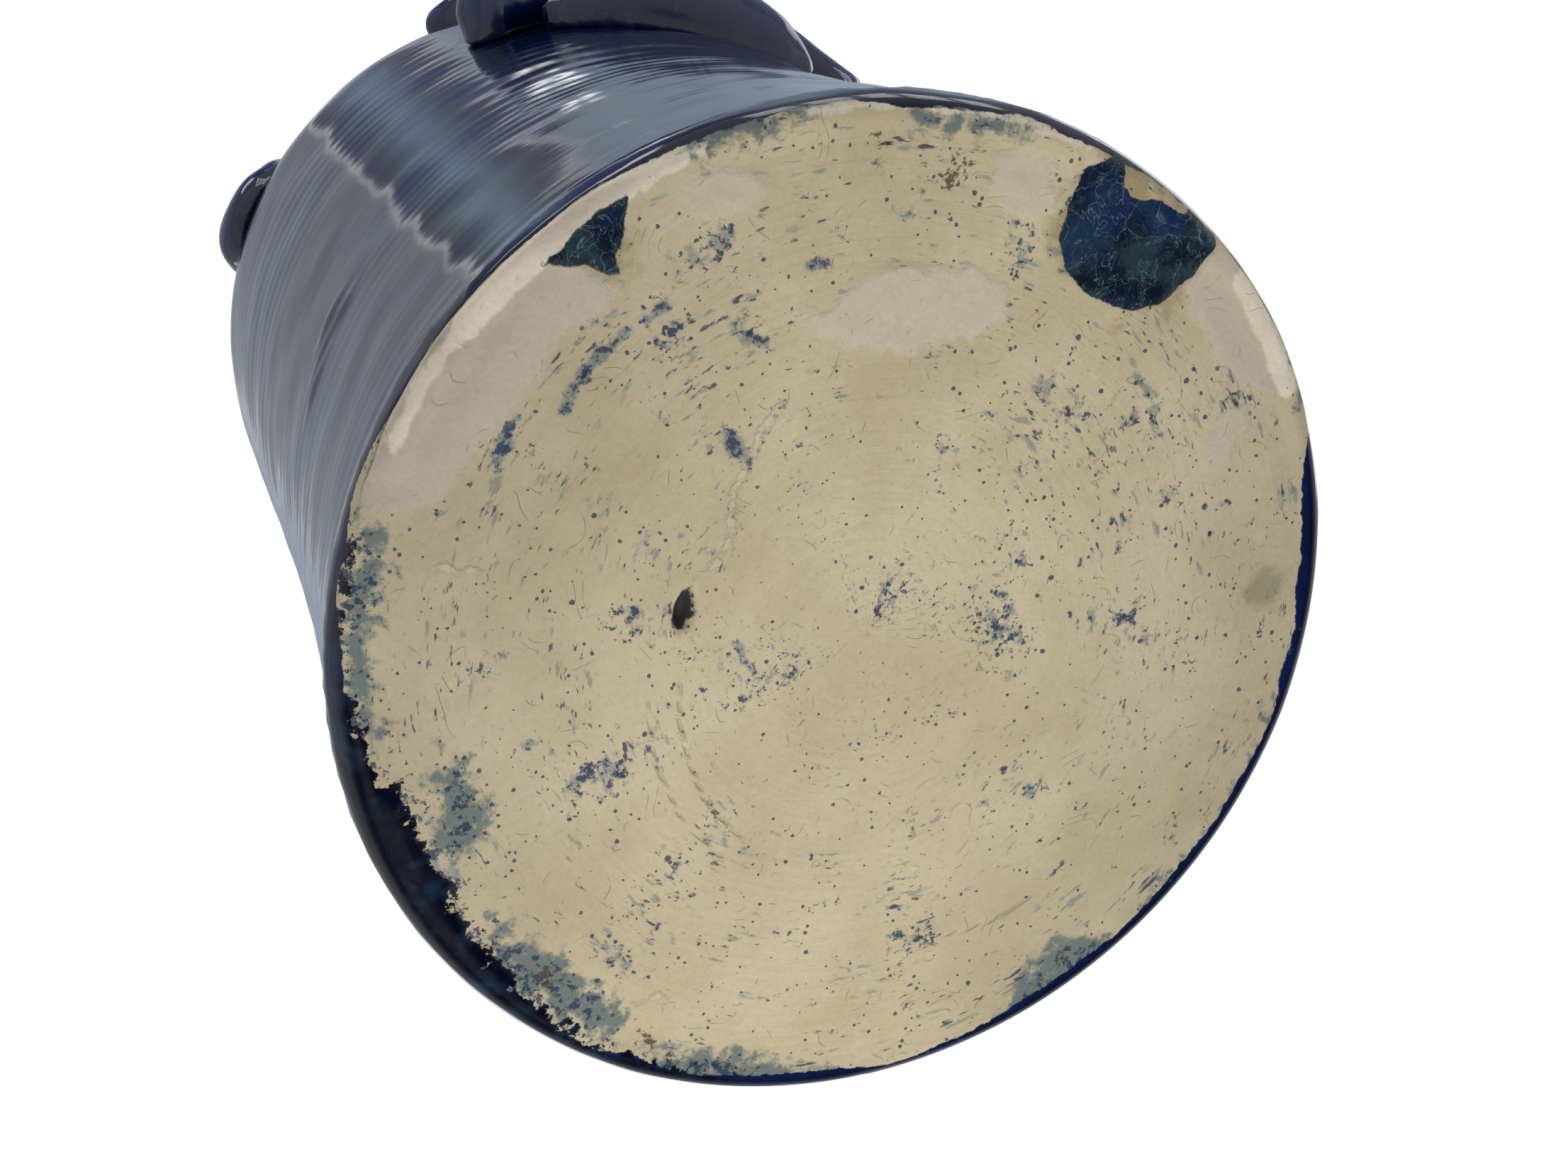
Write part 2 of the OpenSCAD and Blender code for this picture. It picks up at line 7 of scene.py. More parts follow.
import json
import logging
import math
from dataclasses import dataclass
from enum import Enum
from typing import NamedTuple, Optional, Sequence, Union

import bpy
import numpy as np
from mathutils import Matrix, Vector

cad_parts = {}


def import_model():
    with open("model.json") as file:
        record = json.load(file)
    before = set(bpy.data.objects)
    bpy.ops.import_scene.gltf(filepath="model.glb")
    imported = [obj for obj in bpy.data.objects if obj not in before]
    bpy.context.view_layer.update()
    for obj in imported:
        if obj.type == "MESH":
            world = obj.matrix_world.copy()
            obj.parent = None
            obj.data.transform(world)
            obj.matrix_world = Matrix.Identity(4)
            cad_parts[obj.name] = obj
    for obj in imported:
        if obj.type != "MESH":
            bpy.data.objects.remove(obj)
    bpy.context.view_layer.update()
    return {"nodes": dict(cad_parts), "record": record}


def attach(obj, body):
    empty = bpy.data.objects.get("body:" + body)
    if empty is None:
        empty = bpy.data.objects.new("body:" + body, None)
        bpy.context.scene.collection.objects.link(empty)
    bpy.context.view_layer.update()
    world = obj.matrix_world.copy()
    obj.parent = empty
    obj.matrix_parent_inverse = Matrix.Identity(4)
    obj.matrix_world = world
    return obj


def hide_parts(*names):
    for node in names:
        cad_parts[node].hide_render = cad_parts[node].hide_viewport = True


LOG = logging.getLogger("face_jug")
MM = 0.001
FAR_MM = 50.0
MARKS_TOP_MM = 12
Array = np.ndarray
Colour = tuple[float, float, float, float]
Pair = tuple[float, float]
Triple = tuple[float, float, float]
Material = bpy.types.Material
Mesh = bpy.types.Mesh
Object = bpy.types.Object
Socket = bpy.types.NodeSocket
Setting = Union[Socket, float, Sequence[float]]


class Zone(Enum):
    """Part of the thrown body that a point of its outline belongs to."""

    BASE = 0
    FOOT = 1
    WALL = 2
    SHOULDER = 3
    NECK = 4
    LIP = 5
    INSIDE = 6


class Mark(Enum):
    """Kind of mark on the underside, with the name of the attribute that carries it."""

    TEAL = "teal_mm"
    NAVY = "navy_mm"
    NOTCH = "notch_mm"
    GROUND = "ground_mm"
    HAZE = "haze_mm"
    RUST = "rust_mm"
    GREEN = "green_mm"
    DASH = "dash_mm"
    SCAR = "scar_mm"
    GROOVE = "groove_mm"
    PIT = "pit_mm"
    CHAMFER = "chamfer_mm"


def linear(hex_colour: str) -> Colour:
    """Turns an sRGB hex colour to linear.

    Args:
        hex_colour: The colour, such as "#c8ba98".

    Returns:
        Red, green, blue and alpha.
    """
    channels = [int(hex_colour[i : i + 2], 16) / 255 for i in (1, 3, 5)]
    red, green, blue = (c / 12.92 if c <= 0.04045 else ((c + 0.055) / 1.055) ** 2.4 for c in channels)
    return (red, green, blue, 1.0)


def per_mm(size_mm: float) -> float:
    """Texture scale, in repeats to the metre, for a pattern of a real size."""
    return 1 / (size_mm * MM)


def smooth_step(values: Array, low: float, high: float) -> Array:
    """0 below low, 1 above high and smooth between."""
    t = np.clip((values - low) / (high - low), 0, 1)
    return t * t * (3 - 2 * t)


@dataclass(frozen=True)
class Wander:
    """Smooth uneven movement of a hand or a wheel, as a sum of seeded waves."""

    size_mm: float
    seed: int
    waves: int = 24

    def at(self, points_mm: Array) -> Array:
        """Height of the movement at points.

        Args:
            points_mm: Points, one to a row.

        Returns:
            One value a point, of about unit spread round zero.
        """
        rng = np.random.default_rng(self.seed)
        ways = rng.normal(size=(self.waves, 3))
        ways /= np.linalg.norm(ways, axis=1, keepdims=True)
        lengths = self.size_mm * rng.uniform(0.7, 1.7, self.waves)
        phases = rng.uniform(0, 2 * np.pi, self.waves)
        waves = np.sin(points_mm @ (ways / lengths[:, None]).T * 2 * np.pi + phases)
        return waves.sum(1) / math.sqrt(self.waves / 2)


def add_node(
    tree: bpy.types.NodeTree,
    kind: str,
    inputs: Optional[dict[Union[str, int], Setting]] = None,
    output: Union[str, int] = 0,
    **settings: object,
) -> Optional[Socket]:
    """Adds one node, sets it up and links it.

    Args:
        tree: Node tree that gets the node.
        kind: Blender's name of the node type.
        inputs: For each input by name or number, a socket to link or a value to set.
        output: The output to give back.
        **settings: Properties of the node.

    Returns:
        The chosen output, or None for a node that has none.
    """
    node = tree.nodes.new(kind)
    for name, value in settings.items():
        setattr(node, name, value)
    for key, value in (inputs or {}).items():
        if isinstance(value, Socket):
            tree.links.new(value, node.inputs[key])
        else:
            node.inputs[key].default_value = value
    return node.outputs[output] if node.outputs else None


class Layers(NamedTuple):
    """What a coat gives to a shader: colour, roughness and height in millimetres."""

    colour: Socket
    roughness: Socket
    height: Socket


@dataclass(frozen=True)
class Graph:
    """Nodes of a material or of the world, with a method for each step that the finishes share."""

    owner: Union[Material, bpy.types.World]

    def add(self, kind: str, *args: object, **settings: object) -> Optional[Socket]:
        """Adds one shader node, named without its common first word."""
        return add_node(self.owner.node_tree, "ShaderNode" + kind, *args, **settings)

    def place(self) -> Socket:
        """Place of a point in the frame of the jug, in metres."""
        return self.add("TexCoord", output="Object")

    def value(self, name: str) -> Socket:
        """A value that the mesh carries at each point."""
        return self.add("Attribute", {}, "Fac", attribute_name=name)

    def maths(self, operation: str, *values: Setting, clamp: bool = False) -> Socket:
        """One step of arithmetic."""
        return self.add("Math", dict(enumerate(values)), operation=operation, use_clamp=clamp)

    def times(self, value: Socket, factor: Setting, rest: Setting = 0.0) -> Socket:
        """A value times a factor, and the rest."""
        return self.maths("MULTIPLY_ADD", value, factor, rest)

    def scaled(self, vector: Socket, scale: Setting) -> Socket:
        """A vector or a colour times a scale."""
        return self.add("VectorMath", {0: vector, "Scale": scale}, operation="SCALE")

    def moved(self, vector: Socket, step: Setting) -> Socket:
        """A vector moved by another."""
        return self.add("VectorMath", {0: vector, 1: step}, operation="ADD")

    def ramp(
        self,
        value: Socket,
        low: float,
        high: float,
        bottom: float = 0.0,
        top: float = 1.0,
        smooth: bool = False,
    ) -> Socket:
        """Bottom where a value is at low, top where it is at high, and between them in between."""
        inputs = {"Value": value, "From Min": low, "From Max": high, "To Min": bottom, "To Max": top}
        return self.add("MapRange", inputs, interpolation_type="SMOOTHSTEP" if smooth else "LINEAR")

    def blend(
        self, share: Socket, under: Union[Socket, str], over: Union[Socket, str], strength: float = 1.0
    ) -> Socket:
        """A colour laid over another.

        Args:
            share: Where it lies, 0 to 1.
            under: The lower colour, as a socket or in hex.
            over: The upper colour, as a socket or in hex.
            strength: How much of the upper one shows where it lies.

        Returns:
            The colour.
        """
        if strength != 1:
            share = self.times(share, strength)
        low, high = (linear(colour) if isinstance(colour, str) else colour for colour in (under, over))
        return self.add("Mix", {0: share, 6: low, 7: high}, 2, data_type="RGBA")

    def noise(
        self,
        size_mm: float,
        detail: float = 2.0,
        roughness: float = 0.5,
        output: Union[str, int] = 0,
        **more: float,
    ) -> Socket:
        """Noise of a real size over the jug, from 0 to 1."""
        inputs = {"Vector": self.place(), "Scale": per_mm(size_mm), "Detail": detail, "Roughness": roughness}
        return self.add("TexNoise", {**inputs, **more}, output)

    def bent_place(self, size_mm: float, reach_mm: float) -> Socket:
        """Place of a point, pushed about by noise, so that what follows it is uneven."""
        return self.moved(self.place(), self.scaled(self.noise(size_mm, output="Color"), reach_mm * MM))

    def swept(self, around: float, across_mm: float, radial: bool, detail: float = 3.0) -> Socket:
        """Noise drawn out round the axis, as a turning wheel draws out every mark.

        Args:
            around: How many times the noise changes over about 60 degrees.
            across_mm: Size of the marks across the sweep.
            radial: Whether across the sweep is outwards, on the underside, or upwards, on the wall.
            detail: Octaves of the noise.

        Returns:
            The noise, from 0 to 1.
        """
        place = self.place()
        flat = self.add("VectorMath", {0: place, 1: (1.0, 1.0, 0.0)}, operation="MULTIPLY")
        way = self.add("VectorMath", {0: flat}, operation="NORMALIZE")
        if radial:
            distance = self.add("VectorMath", {0: flat}, "Value", operation="LENGTH")
        else:
            distance = self.add("SeparateXYZ", {0: place}, "Z")
        lift = self.add("CombineXYZ", {"Z": self.times(distance, per_mm(across_mm))})
        spun = self.moved(self.scaled(way, around), lift)
        return self.add("TexNoise", {"Vector": spun, "Scale": 1.0, "Detail": detail, "Roughness": 0.55})

    def reach(self, mark: Mark) -> Socket:
        """Distance inside the edge of one kind of mark, in millimetres."""
        return self.value(mark.value)

    def ragged(self, reach_mm: Socket, rag_mm: float, grain_mm: float, soft_mm: float) -> Socket:
        """Inside of a mark with an uneven edge.

        Args:
            reach_mm: Distance inside the mark's edge, in millimetres.
            rag_mm: How far the edge wanders.
            grain_mm: Size of the wander along the edge.
            soft_mm: Width over which the edge fades.

        Returns:
            1 inside the mark and 0 outside.
        """
        push = self.times(self.noise(grain_mm, 5, 0.62), 4 * rag_mm, -2 * rag_mm)
        return self.ramp(self.maths("ADD", reach_mm, push), -soft_mm, soft_mm, smooth=True)

    def flecks(
        self, reach_mm: Socket, size_mm: float, fade_mm: float, crowding: Pair, soft: float = 0.03
    ) -> Socket:
        """Flecks that crowd together inside a mark and thin out away from it.

        Args:
            reach_mm: Distance inside the mark's edge, in millimetres.
            size_mm: Size of the flecks.
            fade_mm: How far from the edge, both ways, the crowding changes.
            crowding: Crowding outside and inside; 0 covers a half, -0.3 nearly nothing.
            soft: Softness of each fleck's edge.

        Returns:
            1 in a fleck and 0 between them.
        """
        crowd = self.ramp(reach_mm, -fade_mm, fade_mm, *crowding)
        level = self.maths("ADD", self.noise(size_mm, 4, 0.68), crowd)
        return self.ramp(level, 0.5 - soft, 0.5 + soft, smooth=True)

    def finish(self, layers: Layers, ior: float) -> Material:
        """Puts a coat on the shader and the shader on the output.

        Args:
            layers: The coat.
            ior: Index of refraction of the surface.

        Returns:
            The finished material.
        """
        relief = self.add("Bump", {"Height": layers.height, "Distance": MM, "Strength": 1.0})
        coat = {"Base Color": layers.colour, "Roughness": layers.roughness, "Normal": relief, "IOR": ior}
        return self.show(self.add("BsdfPrincipled", coat))

    def show(self, surface: Socket) -> Material:
        """Puts a surface on the output and gives back the material."""
        self.add("OutputMaterial", {"Surface": surface})
        return self.owner


def new_graph(name: str) -> Graph:
    """Nodes of a new material, with none in it yet.

    Args:
        name: Name of the material.

    Returns:
        The nodes.
    """
    material = bpy.data.materials.new(name)
    material.use_nodes = True
    material.node_tree.nodes.clear()
    return Graph(material)


@dataclass(frozen=True)
class CobaltGlaze:
    """Cobalt glaze, dipped and fired glossy over stoneware.

    It gives the eye a deep navy that pools nearly black in the hollows, turns a clearer blue and
    then a violet brown where it runs thin over a crest, and a wet gloss broken by fine rings.
    """

    pooled: str = "#060c22"
    full: str = "#0d1d49"
    thin: str = "#263a72"
    worn: str = "#473c50"
    crystal: str = "#41639a"
    ior: float = 1.52
    gloss: float = 0.08

    def layers(self, graph: Graph, crest: Socket, ringed: bool) -> Layers:
        """Nodes of the glaze.

        Args:
            graph: Nodes of the material.
            crest: 0 in a hollow, 1 on a crest.
            ringed: Whether the clay below was thrown on the wheel, or laid on by hand.

        Returns:
            The coat.
        """
        cloud = graph.noise(18, 4, 0.6)
        mottle = graph.noise(2.4, 3, 0.6)
        depth = graph.times(mottle, 0.25, graph.times(cloud, 0.9, crest))
        colour = graph.blend(graph.ramp(depth, 0.45, 1.05, smooth=True), self.pooled, self.full)
        colour = graph.blend(graph.ramp(depth, 1.0, 1.75, smooth=True), colour, self.thin)
        colour = graph.blend(graph.ramp(depth, 1.55, 2.0, top=0.7, smooth=True), colour, self.worn)
        seed = graph.times(cloud, 0.5, graph.noise(1.1, 2, 0.7))
        colour = graph.blend(graph.ramp(seed, 0.92, 1.02, top=0.45), colour, self.crystal)
        roughness = graph.times(mottle, 0.08, self.gloss - 0.03)
        height = graph.times(graph.noise(3.6), 0.015 if ringed else 0.06)
        if ringed:
            height = graph.times(graph.swept(1.2, 1.8, radial=False), 0.035, height)
        return Layers(colour, roughness, height)

    def material(self) -> Material:
        """For clay laid on by hand, where the distance off the wall tells hollow from crest.

        Returns:
            The material.
        """
        graph = new_graph("cobalt_glaze_over_hand_laid_clay")
        pooled = graph.ramp(graph.value("lift_mm"), 0.0, 5.0, top=0.45, smooth=True)
        bend = graph.add("NewGeometry", {}, "Pointiness")
        crest = graph.maths("ADD", pooled, graph.ramp(bend, 0.5, 0.6, top=0.8, smooth=True))
        return graph.finish(self.layers(graph, crest, ringed=False), self.ior)


@dataclass(frozen=True)
class BareStoneware:
    """Buff stoneware, thrown, trimmed and fired without glaze.

    It gives the eye a matt cream with a sandy grain, rings from the trimming, paler places where
    it was ground flat, and a spatter of blue from the glaze bath.
    """

    cream: str = "#c8bb9c"
    warm: str = "#b8aa89"
    ground: str = "#c5b9a6"
    toasted: str = "#94835a"
    haze: str = "#536668"
    speck: str = "#122c4c"
    wash: str = "#4c6a78"
    rust: str = "#46341f"
    green: str = "#6d7350"
    # Painted shade for the grooves, darker where their hollows would be in shade.
    painted_groove_shade: str = "#8d7f63"
    # Fresh clay on the chamfer; on the scars the same colour is a painted highlight.
    fresh: str = "#ddd4c0"
    pit: str = "#0b1226"

    def layers(self, graph: Graph) -> Layers:
        """Nodes of the bare clay.

        Args:
            graph: Nodes of the material.

        Returns:
            The coat.
        """
        sand = graph.noise(0.7, 4, 0.7)
        ground = graph.ragged(graph.reach(Mark.GROUND), 1.0, 3.0, 0.8)
        spared = graph.maths("SUBTRACT", 1.0, ground)
        scar = graph.ragged(graph.reach(Mark.SCAR), 0.6, 1.2, 0.3)
        groove = graph.ragged(graph.reach(Mark.GROOVE), 0.07, 1.6, 0.2)
        colour = self.stained(graph, self.fired(graph, ground, sand), spared)
        for where, shade, strength in (
            (graph.flecks(graph.reach(Mark.RUST), 0.9, 1.5, (-0.4, -0.03), 0.05), self.rust, 0.85),
            (graph.ragged(graph.reach(Mark.GREEN), 1.3, 2.0, 1.0), self.green, 0.5),
            # Painted highlight: the scar's raised ridge is painted paler.
            (scar, self.fresh, 0.2),
            # Painted shade: the grooves are tinted darker, as their hollows would be shaded.
            (groove, self.painted_groove_shade, 0.2),
            (graph.ragged(graph.reach(Mark.PIT), 0.5, 1.0, 0.2), self.pit, 0.95),
        ):
            colour = graph.blend(where, colour, shade, strength)
        height = graph.times(graph.times(graph.swept(2.0, 0.9, radial=True), spared), 0.16)
        chips = graph.times(graph.noise(5, 3), ground)
        scratches = self.scratches(graph)
        for mask, rise in ((sand, 0.07), (scratches, -0.1), (scar, 0.16), (groove, -0.25), (chips, 0.5)):
            height = graph.times(mask, rise, height)
        return Layers(colour, graph.times(sand, 0.12, 0.76), height)

    def fired(self, graph: Graph, ground: Socket, sand: Socket) -> Socket:
        """The clay itself, toasted round the blots, darkened towards both sides by painted shade and fresh
        where it was chamfered.

        Args:
            graph: Nodes of the material.
            ground: 1 where the clay was ground flat.
            sand: Grain of the clay.

        Returns:
            The colour.
        """
        cloud = graph.ramp(graph.noise(28, 6, 0.6), 0.36, 0.6)
        colour = graph.blend(cloud, self.warm, self.cream)
        toast = graph.flecks(graph.reach(Mark.TEAL), 6, 7.0, (-0.3, 0.25), 0.16)
        colour = graph.blend(toast, colour, self.toasted, 0.8)
        colour = graph.blend(ground, colour, self.ground, 0.92)
        # Painted shade: the clay is darkened towards both sides, by up to a fifth, where the light falls
        # off.
        aside = graph.maths("ABSOLUTE", graph.add("SeparateXYZ", {0: graph.place()}, "X"))
        colour = graph.scaled(colour, graph.ramp(aside, 20 * MM, 58 * MM, 1.0, 0.8))
        chamfer = graph.ragged(graph.reach(Mark.CHAMFER), 0.5, 2.5, 0.3)
        colour = graph.blend(chamfer, colour, self.fresh, 0.8)
        return graph.scaled(colour, graph.ramp(sand, 0.3, 0.7, 0.93, 1.06))

    def stained(self, graph: Graph, colour: Socket, spared: Socket) -> Socket:
        """The clay with its haze, washes and specks of blue.

        Args:
            graph: Nodes of the material.
            colour: Colour of the clay.
            spared: 0 where the clay was ground after the blue fell on it, 1 elsewhere.

        Returns:
            The colour.
        """
        haze = graph.flecks(graph.reach(Mark.HAZE), 2.6, 2.6, (-0.26, 0.17), 0.1)
        colour = graph.blend(haze, colour, self.haze, 0.85)
        smears = graph.flecks(graph.reach(Mark.DASH), 2.2, 1.4, (-0.4, 0.3), 0.1)
        colour = graph.blend(smears, colour, self.wash, 0.6)
        crowds = graph.times(graph.noise(13, 3, 0.65), 60.0, -35.0)
        washes = (
            graph.flecks(crowds, 2.0, 6.0, (-0.36, 0.04), 0.06),
            self.sweeps(graph, 12.0, 1.1, 0.88),
        )
        blues = (
            self.sweeps(graph, 21.0, 0.7, 0.9),
            graph.flecks(crowds, 1.0, 6.0, (-0.27, -0.03)),
            self.spatter(graph, 1.1, 0.3),
            self.spatter(graph, 2.1, 0.2),
            self.spatter(graph, 6.0, 0.1),
            graph.flecks(graph.reach(Mark.DASH), 1.1, 1.8, (-0.34, 0.12), 0.06),
            graph.flecks(graph.reach(Mark.NAVY), 1.5, 8.0, (-0.32, 0.26)),
            graph.flecks(graph.reach(Mark.HAZE), 1.2, 2.0, (-0.5, -0.04)),
        )
        for stains, shade, strength in ((washes, self.wash, 0.5), (blues, self.speck, 0.85)):
            for stain in stains:
                colour = graph.blend(graph.times(stain, spared), colour, shade, strength)
        return colour

    def scratches(self, graph: Graph) -> Socket:
        """Hair scratches that wander over the clay, broken into lengths of 2 to 8 mm.

        Args:
            graph: Nodes of the material.

        Returns:
            1 on a scratch and 0 off it.
        """
        off = graph.maths("PINGPONG", graph.times(graph.noise(17, 2, 0.4), 22.0), 0.5)
        gate = graph.ramp(graph.noise(4, 3), 0.56, 0.66)
        return graph.times(graph.ramp(off, 0.035, 0.0), gate)

    def sweeps(self, graph: Graph, around: float, across_mm: float, level: float) -> Socket:
        """Short broken dashes that a sponge left round the wheel.

        Args:
            graph: Nodes of the material.
            around: How many times they change over about 60 degrees.
            across_mm: Their size across the sweep.
            level: How rare they are; 0.84 is common and 0.95 rare.

        Returns:
            1 in a dash and 0 between them.
        """
        dash = graph.swept(around, across_mm, radial=True, detail=5.0)
        return graph.ramp(graph.times(graph.noise(11, 3), 0.5, dash), level, level + 0.07)

    def spatter(self, graph: Graph, apart_mm: float, largest: float) -> Socket:
        """Specks of glaze.

        Args:
            graph: Nodes of the material.
            apart_mm: Distance between their places.
            largest: Radius of the largest, as a share of that distance.

        Returns:
            1 in a speck and 0 between them.
        """
        place = graph.bent_place(0.5, 0.35)
        cell = graph.add("TexVoronoi", {"Vector": place, "Scale": per_mm(apart_mm)}, "Distance")
        chance = graph.add("SeparateColor", {0: cell.node.outputs["Color"]}, 0)
        chance = graph.times(graph.noise(16), 0.8, chance)
        inside = graph.maths("SUBTRACT", graph.ramp(chance, 0.95, 1.5, 0.0, largest), cell)
        return graph.ramp(inside, -0.01, 0.03, smooth=True)


@dataclass(frozen=True)
class FootGlaze:
    """Cobalt glaze that ran under the foot in the firing, with veins of teal.

    It gives the eye dark glassy blots with pale veins and a thin clear edge on the buff clay.
    """

    deep: str = "#101a28"
    teal: str = "#263a44"
    blue: str = "#1b2f56"
    vein: str = "#6f8489"
    pool: str = "#04071a"
    rim: str = "#142c40"

    def blot(self, graph: Graph) -> Socket:
        """Mottled colour of a blot, with hair veins that wander through it.

        Args:
            graph: Nodes of the material.

        Returns:
            The colour.
        """
        cloud = graph.ramp(graph.noise(5, 5, 0.6), 0.4, 0.62, smooth=True)
        colour = graph.blend(cloud, self.deep, self.teal)
        colour = graph.blend(graph.ramp(graph.noise(11), 0.45, 0.6, top=0.7), colour, self.blue)
        for size_mm, width, strength in ((6.0, 0.010, 0.7), (3.0, 0.013, 0.3)):
            swirl = graph.noise(size_mm, 3, 0.6, Distortion=1.6)
            off = graph.maths("ABSOLUTE", graph.maths("SUBTRACT", swirl, 0.5))
            colour = graph.blend(graph.ramp(off, width, 0.0, top=strength), colour, self.vein)
        return colour

    def smear(self, graph: Graph) -> Socket:
        """Nearly black colour of glaze that pooled at the rim."""
        return graph.blend(graph.ramp(graph.noise(5, 4), 0.5, 0.68), self.pool, self.rim)


@dataclass(frozen=True)
class DippedStoneware:
    """The thrown body: stoneware dipped in cobalt glaze and wiped bare under the foot.

    It gives the eye two surfaces with one ragged edge between them, where the glaze ends in a
    dark bead.
    """

    glaze: CobaltGlaze
    clay: BareStoneware
    run: FootGlaze

    def material(self) -> Material:
        """For the whole thrown body.

        Returns:
            The material.
        """
        graph = new_graph("cobalt_glaze_over_thrown_stoneware")
        glaze = self.glaze.layers(graph, graph.value("crest"), ringed=True)
        clay = self.clay.layers(graph)
        teal = graph.ragged(graph.reach(Mark.TEAL), 0.35, 2.5, 0.12)
        navy = graph.ragged(graph.reach(Mark.NAVY), 2.6, 2.2, 0.15)
        notch = graph.ragged(graph.reach(Mark.NOTCH), 0.3, 1.5, 0.1)
        covered = graph.maths("SUBTRACT", graph.maths("MAXIMUM", teal, navy), notch, clamp=True)
        bare = graph.ragged(graph.value("bare_mm"), 0.3, 1.8, 0.08)
        bare = graph.maths("SUBTRACT", bare, covered, clamp=True)
        colour = graph.blend(teal, glaze.colour, self.run.blot(graph))
        colour = graph.blend(navy, colour, self.run.smear(graph))
        colour = graph.blend(bare, colour, clay.colour)
        roughness = graph.add("Mix", {0: bare, 2: glaze.roughness, 3: clay.roughness})
        height = graph.add("Mix", {0: bare, 2: glaze.height, 3: clay.height})
        return graph.finish(Layers(colour, roughness, height), self.glaze.ior)


@dataclass(frozen=True)
class WhiteClay:
    """White porcelain clay, shaped by hand and glazed thin and clear.

    It gives the eye an ivory that is not quite even, with hair cracks in its glaze and a stain of
    blue where the dark glaze crept up round it.
    """

    ivory: str = "#e2dac6"
    shade: str = "#cfc4aa"
    stain: str = "#46507a"
    crack: str = "#8d846f"
    ior: float = 1.5

    def material(self) -> Material:
        """For the teeth and eyeballs.

        Returns:
            The material.
        """
        graph = new_graph("clear_glaze_over_white_clay")
        cloud = graph.noise(4, 4)
        colour = graph.blend(cloud, self.shade, self.ivory)
        cells = {"Vector": graph.bent_place(2, 0.8), "Scale": per_mm(3.4)}
        gap = graph.add("TexVoronoi", cells, "Distance", feature="DISTANCE_TO_EDGE")
        colour = graph.blend(graph.ramp(gap, 0.03, 0.0, top=0.45), colour, self.crack)
        low = graph.maths("SUBTRACT", 3.0, graph.value("lift_mm"))
        colour = graph.blend(graph.ragged(low, 0.8, 1.6, 0.9), colour, self.stain, 0.8)
        layers = Layers(colour, graph.times(cloud, 0.12, 0.16), graph.times(cloud, 0.1))
        return graph.finish(layers, self.ior)


@dataclass(frozen=True)
class DarkSlip:
    """Iron slip, brushed on and fired glossy.

    It gives the eye a near black with a brown warmth where it is thin.
    """

    black: str = "#0b0c12"
    brown: str = "#21170f"
    ior: float = 1.52

    def material(self) -> Material:
        """For the pupils.

        Returns:
            The material.
        """
        graph = new_graph("iron_slip_brushed")
        cloud = graph.noise(1.8, 4)
        colour = graph.blend(graph.ramp(cloud, 0.45, 0.7), self.black, self.brown)
        layers = Layers(colour, graph.times(cloud, 0.15, 0.04), graph.times(cloud, 0.06))
        return graph.finish(layers, self.ior)


def gap_to(places: Array, corners: Array) -> Array:
    """Distance of places from a line.

    Args:
        places: The places, x and y to a row.
        corners: The line's corners.

    Returns:
        One distance a place.
    """
    gap = np.full(len(places), np.inf)
    for a, b in zip(corners[:-1], corners[1:]):
        side = b - a
        t = np.clip(((places - a) @ side) / max(side @ side, 1e-9), 0, 1)
        gap = np.minimum(gap, np.linalg.norm(places - a - t[:, None] * side, axis=1))
    return gap


@dataclass(frozen=True)
class Patch:
    """A mark on the underside with a closed outline, in millimetres."""

    outline: tuple[Pair, ...]

    def reach(self, places: Array) -> Array:
        """Distance inside the outline, negative outside.

        Args:
            places: Places on the underside, x and y to a row.

        Returns:
            One distance a place, in millimetres.
        """
        corners = np.array([*self.outline, self.outline[0]])
        x, y = places.T
        inside = np.zeros(len(places), bool)
        for a, b in zip(corners[:-1], corners[1:]):
            if a[1] != b[1]:
                crosses = (a[1] > y) != (b[1] > y)
                inside ^= crosses & (x < a[0] + (y - a[1]) / (b[1] - a[1]) * (b[0] - a[0]))
        return np.where(inside, 1, -1) * gap_to(places, corners)


@dataclass(frozen=True)
class Stroke:
    """A mark on the underside that follows a line, in millimetres."""

    half_width: float
    line: tuple[Pair, ...]

    def reach(self, places: Array) -> Array:
        """Distance inside the stroke, negative outside."""
        return self.half_width - gap_to(places, np.array(self.line))


def spot(centre: Pair, radius: float) -> Stroke:
    """A round mark."""
    return Stroke(radius, (centre, centre))


